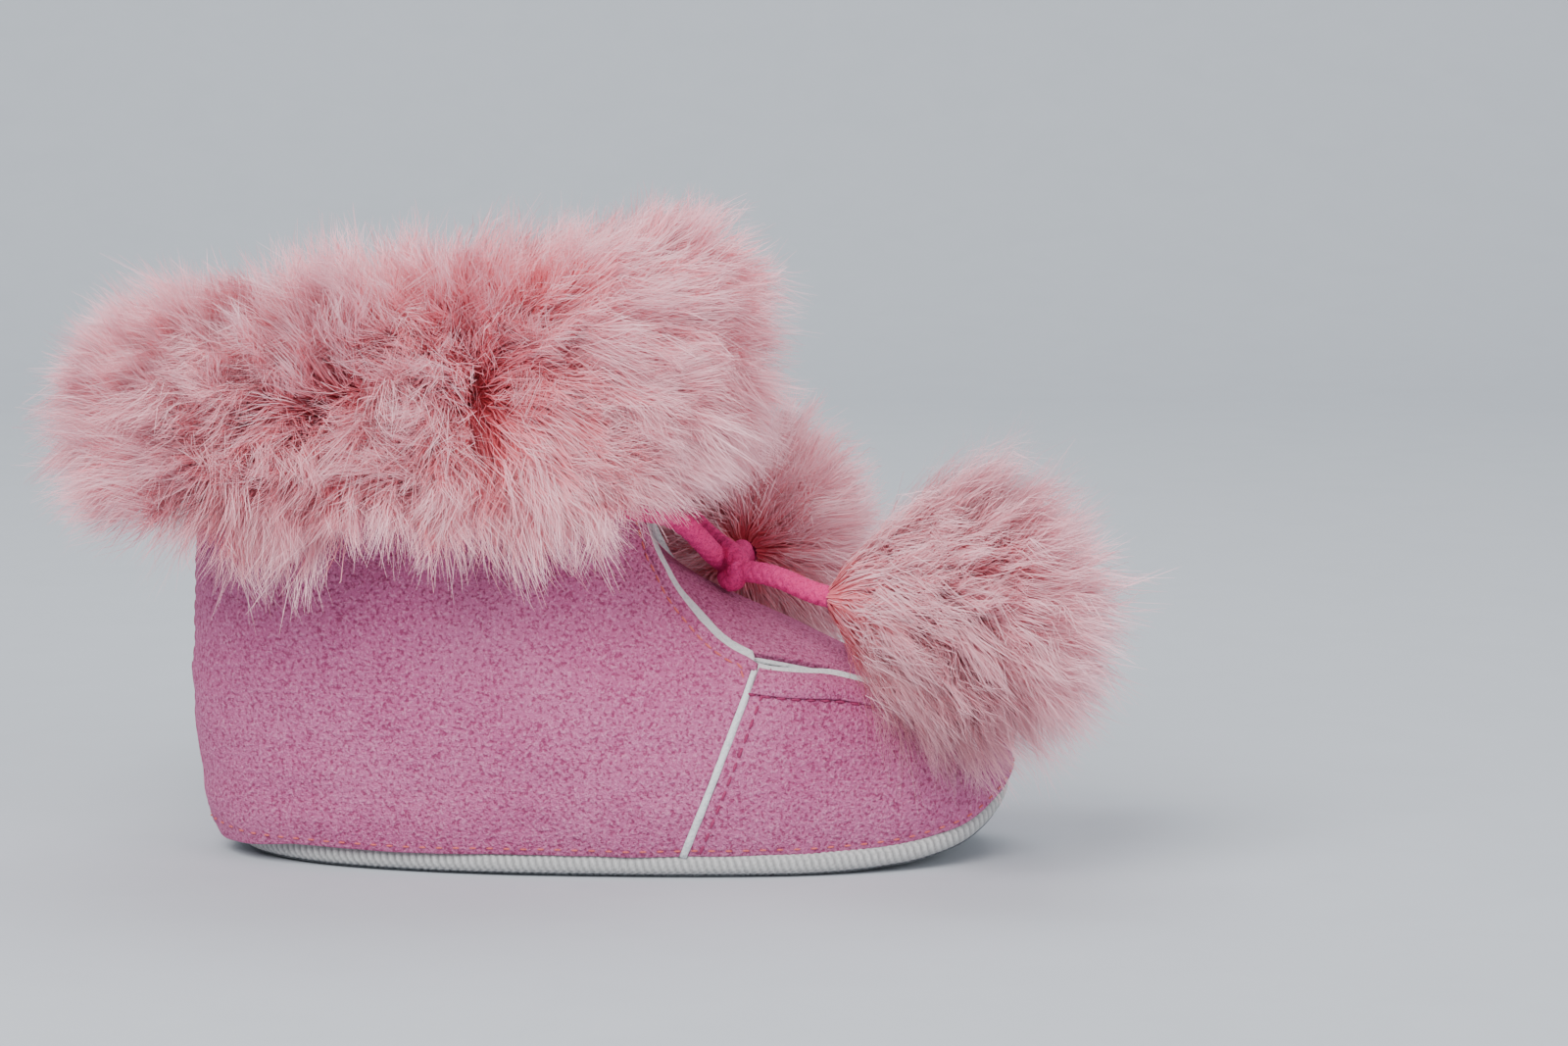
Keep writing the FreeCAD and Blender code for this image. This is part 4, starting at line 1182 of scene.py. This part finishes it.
def grow_fur(name, grid, comb, pile, faces, settings, hairs):
    """Fur on a skin: comb and pile give each point its lean and its share of length."""
    base = mesh_piece(name + "_skin", to_metres(grid), faces, FUR_MATERIALS[0])
    base.data.attributes.new("comb", "FLOAT_VECTOR", "POINT").data.foreach_set(
        "vector", np.ascontiguousarray(comb, dtype=np.float32).ravel())
    base.data.attributes.new("pile", "FLOAT", "POINT").data.foreach_set(
        "value", np.ascontiguousarray(pile, dtype=np.float32).ravel())
    area = sum(face.area for face in base.data.polygons)
    values = {"Density": hairs / area}
    values.update(settings)
    piece = grown_piece(name, base, FUR_TREE, values)
    bpy.data.objects.remove(base)
    return piece


CUFF_FUR = {
    "Length": 20.5 * MM, "Width": 0.21 * MM, "Lock Size": 8.5 * MM, "Wisp Size": 2.4 * MM,
    "Cling": 0.6, "Swirl Size": 24.0 * MM, "Swirl": 1.15, "Fuzz": 0.18, "Lift": 0.6,
    "Sag": (0.0, 0.0, -0.1),
}


def cuff_fur(name, angles, shares, node, seed, hairs):
    rows, columns = 40, 80
    grid, angle, share = cuff_skin(angles[0], angles[1], shares[0], shares[1], rows, columns)
    spread = (grid[..., 0] - ANKLE_X) / ANKLE_HALF_LENGTH
    rise = np.interp(share, (0.0, 0.14, 0.4, 0.62, 1.0), (-0.6, -0.3, 0.2, 0.5, 0.45))
    comb = np.stack([0.5 * spread, np.zeros_like(spread), rise], axis=-1)
    reach = np.interp(spread, (-1.15, -0.6, 0.6, 1.15), (1.06, 1.0, 0.95, 0.8))
    pile = reach * np.interp(
        share, (0.0, 0.3, 0.55, 0.68, 0.8, 1.0), (0.8, 1.0, 0.9, 0.7, 0.45, 0.4))
    settings = dict(CUFF_FUR)
    settings["Seed"] = seed
    piece = grow_fur(
        name, grid.reshape(-1, 3), comb.reshape(-1, 3), pile.reshape(-1),
        grid_faces(rows, columns), settings, hairs)
    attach(piece, "root")
    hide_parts(node)


FRONT, BACK, ROUND = FRONT_GAP, math.pi, 2 * math.pi - FRONT_GAP
OUTSIDE, INSIDE = (0.0, 0.62), (0.62, 1.0)
FAR_HAIRS, INSIDE_HAIRS = 17000, 9500
HEEL_END, SIDE_END = 1.3 * BACK, 1.65 * BACK
for name, angles, shares, node, seed, hairs in (
    ("cuff_fur_far_toe", (FRONT, 0.5 * BACK), OUTSIDE, "cuff_pile_far", 21, FAR_HAIRS),
    ("cuff_fur_far_heel", (0.5 * BACK, BACK), OUTSIDE, "cuff_pile_far", 22, FAR_HAIRS),
    ("cuff_fur_near_heel", (BACK, HEEL_END), OUTSIDE, "cuff_pile_near", 23, HAIRS_PER_PIECE),
    ("cuff_fur_near_side", (HEEL_END, SIDE_END), OUTSIDE, "cuff_pile_near", 24, HAIRS_PER_PIECE),
    ("cuff_fur_near_toe", (SIDE_END, ROUND), OUTSIDE, "cuff_pile_near", 25, HAIRS_PER_PIECE),
    ("cuff_fur_inside_far", (FRONT, BACK), INSIDE, "cuff_pile_far", 26, INSIDE_HAIRS),
    ("cuff_fur_inside_near", (BACK, ROUND), INSIDE, "cuff_pile_near", 27, INSIDE_HAIRS),
):
    cuff_fur(name, angles, shares, node, seed, hairs)

# ------------------------------------------------------------------ pompoms
# A ball of the same fur over a wad of stuffing, gathered to a neck round the lace and
# tied off with thread. The pile is combed away from the neck.
POMPOMS = {
    "near": ((112.6, -20.4, 40.4), (91.0, -13.7, 41.6), 24.6),
    "far": ((78.0, 37.0, 44.5), (77.6, 20.5, 43.9), 23.5),
}
CORE_FRONT = 9.0
LIE_COLUMN = {"near": 2, "far": 3}
TIE_STEPS, STEPS_PER_TURN, TIE_RISE, TIE_RADIUS, TIE_THREAD = 49, 12, 0.035, 2.0, 0.7 * MM
POMPOM_FUR = {
    "Width": 0.22 * MM, "Lock Size": 3.6 * MM, "Wisp Size": 1.3 * MM, "Cling": 0.3,
    "Swirl Size": 16.0 * MM, "Swirl": 0.26, "Fuzz": 0.13, "Lift": 0.0, "Length": 21.0 * MM,
}
SKIN_PROFILE = np.array([
    (0.0, 1.9, 50.0, 125.0), (0.1, 3.2, 56.0, 118.0), (0.3, 6.0, 66.0, 105.0),
    (0.52, 8.4, 70.0, 95.0), (0.72, 9.2, 60.0, 78.0), (0.86, 8.0, 46.0, 55.0),
    (0.94, 5.2, 28.0, 32.0), (0.985, 2.0, 12.0, 12.0), (1.0, 0.3, 2.0, 2.0),
])


def drop_grid(centre, neck, front, lie_column, rows=50, columns=64):
    """A teardrop skin from its neck to its front, with the lie of its hair."""
    axis = centre - neck
    depth = np.linalg.norm(axis)
    axis = axis / depth
    side = np.cross(axis, (0.0, 0.0, 1.0))
    side /= np.linalg.norm(side)
    up = np.cross(side, axis)
    spins = np.linspace(0.0, 2 * math.pi, columns, endpoint=False)
    share, spin = np.meshgrid(np.linspace(1.0, 0.0, rows), spins, indexing="ij")
    around = np.cos(spin)[..., None] * side + np.sin(spin)[..., None] * up
    radius = np.interp(share, SKIN_PROFILE[:, 0], SKIN_PROFILE[:, 1])
    lie = np.radians(np.interp(share, SKIN_PROFILE[:, 0], SKIN_PROFILE[:, lie_column]))
    from_centre = axis * ((depth + front) * share - depth)[..., None] + around * radius[..., None]
    comb = axis * np.cos(lie)[..., None] + around * np.sin(lie)[..., None]
    return from_centre, comb, axis


for seed, (side, (centre, neck, reach)) in enumerate(POMPOMS.items(), start=31):
    centre, neck = np.array(centre), np.array(neck)
    from_centre, comb, axis = drop_grid(centre, neck, CORE_FRONT, LIE_COLUMN[side])
    rows, columns = from_centre.shape[:2]
    faces = grid_faces(rows, columns, closed=True)
    ends = [tuple(reversed(range(columns))), tuple(range((rows - 1) * columns, rows * columns))]
    wad = centre + from_centre * 0.93
    stuffing = mesh_piece(
        "pompom_stuffing_" + side, to_metres(wad.reshape(-1, 3)), faces + ends, BACKING)
    sweep_on = axis * 0.14 + np.array([0.0, 0.0, -0.14])
    pile = np.full((rows, columns), 0.8)
    for _ in range(14):
        tip = from_centre + (comb + sweep_on) * (pile * POMPOM_FUR["Length"] / MM)[..., None]
        change = np.clip(reach / np.linalg.norm(tip, axis=-1), 0.85, 1.15)
        pile = np.clip(pile * change, 0.35, 1.05)
    settings = dict(POMPOM_FUR)
    settings["Seed"] = seed
    settings["Sag"] = tuple(sweep_on)
    fur = grow_fur(
        "pompom_fur_" + side, (centre + from_centre).reshape(-1, 3), comb.reshape(-1, 3),
        pile.reshape(-1), faces, settings, HAIRS_PER_PIECE)
    # Painted light: the pompoms' hairs take the next lighter tone of the same fur, so they read
    # lighter than the cuff.
    for place, material in enumerate(list(fur.data.materials)):
        if material in FUR_MATERIALS:
            painted_light_tone = min(FUR_MATERIALS.index(material) + 1, len(FUR_MATERIALS) - 1)
            fur.data.materials[place] = FUR_MATERIALS[painted_light_tone]
    into = np.array(ROUTE_NEAR[-1] if side == "near" else ROUTE_FAR[-1]) - neck
    into /= np.linalg.norm(into)
    turns = []
    cross_a = np.cross(into, (0.0, 0.0, 1.0))
    cross_a /= np.linalg.norm(cross_a)
    cross_b = np.cross(into, cross_a)
    for step in range(TIE_STEPS):
        angle = 2 * math.pi * step / STEPS_PER_TURN
        around = math.cos(angle) * cross_a + math.sin(angle) * cross_b
        turns.append(tuple(neck + into * (0.5 + step * TIE_RISE) + TIE_RADIUS * around))
    tie_line, _ = even_steps(np.array([tuple(spot(*p)) for p in turns]), 0.25 * MM)
    tie, _, _ = braided_cord(
        "pompom_tie_wraps_" + side, tie_line, TIE_THREAD, THREAD_PINK, 10, 0.25 * MM)
    for piece, node, slot in (
        (stuffing, "pompom_core_" + side, "wadding"),
        (fur, "pompom_pile_" + side, "fur_pile"),
        (tie, "pompom_tie_" + side, "thread"),
    ):
        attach(piece, side + "_lace")
        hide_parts(node)
    cord, cord_line, cord_length = lace_ends[side]

# ------------------------------------------------------------------ floor and light
# A pale seamless sheet that curves up behind the bootie, lit by a broad softbox from
# above and the left, with a weaker one from the right.
FLOOR_SIZE, BACK_Y, BEND_RADIUS = 2.4, 0.75, 0.5
sweep = []
for y in np.linspace(-2.0, BACK_Y, 12):
    sweep.append((y, 0.0))
for angle in np.linspace(0.1, math.pi / 2, 16):
    sweep.append((BACK_Y + BEND_RADIUS * math.sin(angle), BEND_RADIUS * (1 - math.cos(angle))))
sweep.append((BACK_Y + BEND_RADIUS, 2.2))
floor_points = [(x, y, z) for y, z in sweep for x in (-FLOOR_SIZE, FLOOR_SIZE)]
floor_faces = [(2 * k, 2 * k + 1, 2 * k + 3, 2 * k + 2) for k in range(len(sweep) - 1)]
PAPER = cloth_material(
    "studio_paper", srgb(190, 195, 202), srgb(185, 190, 197), srgb(194, 199, 206),
    0.02, (0.2, 0.2), (0.02, 0.0001), 0.9, 0.0)
floor = mesh_piece("studio_floor", floor_points, floor_faces, PAPER)


def softbox(name, place, aim, size, power_watts, colour):
    data = bpy.data.lights.new(name, "AREA")
    data.shape = "RECTANGLE"
    data.size, data.size_y = size
    data.energy = power_watts
    data.color = colour
    light = bpy.data.objects.new(name, data)
    light.location = place
    light.rotation_euler = (Vector(aim) - Vector(place)).to_track_quat("-Z", "Y").to_euler()
    bpy.context.scene.collection.objects.link(light)


softbox("key_softbox", (-0.45, -0.95, 1.0), (0.0, 0.0, 0.04), (0.9, 0.9), 26.0, (1.0, 0.99, 0.98))
softbox("fill_softbox", (1.0, -0.8, 0.5), (0.02, 0.0, 0.04), (0.8, 0.8), 9.0, (0.97, 0.98, 1.0))
softbox("top_softbox", (0.0, 0.5, 1.3), (0.0, 0.0, 0.05), (1.2, 0.8), 9.0, (1.0, 1.0, 1.0))
world = bpy.data.worlds.new("studio_air")
world.use_nodes = True
world.node_tree.nodes["Background"].inputs["Color"].default_value = (0.80, 0.85, 0.90, 1.0)
world.node_tree.nodes["Background"].inputs["Strength"].default_value = 0.55
bpy.context.scene.world = world
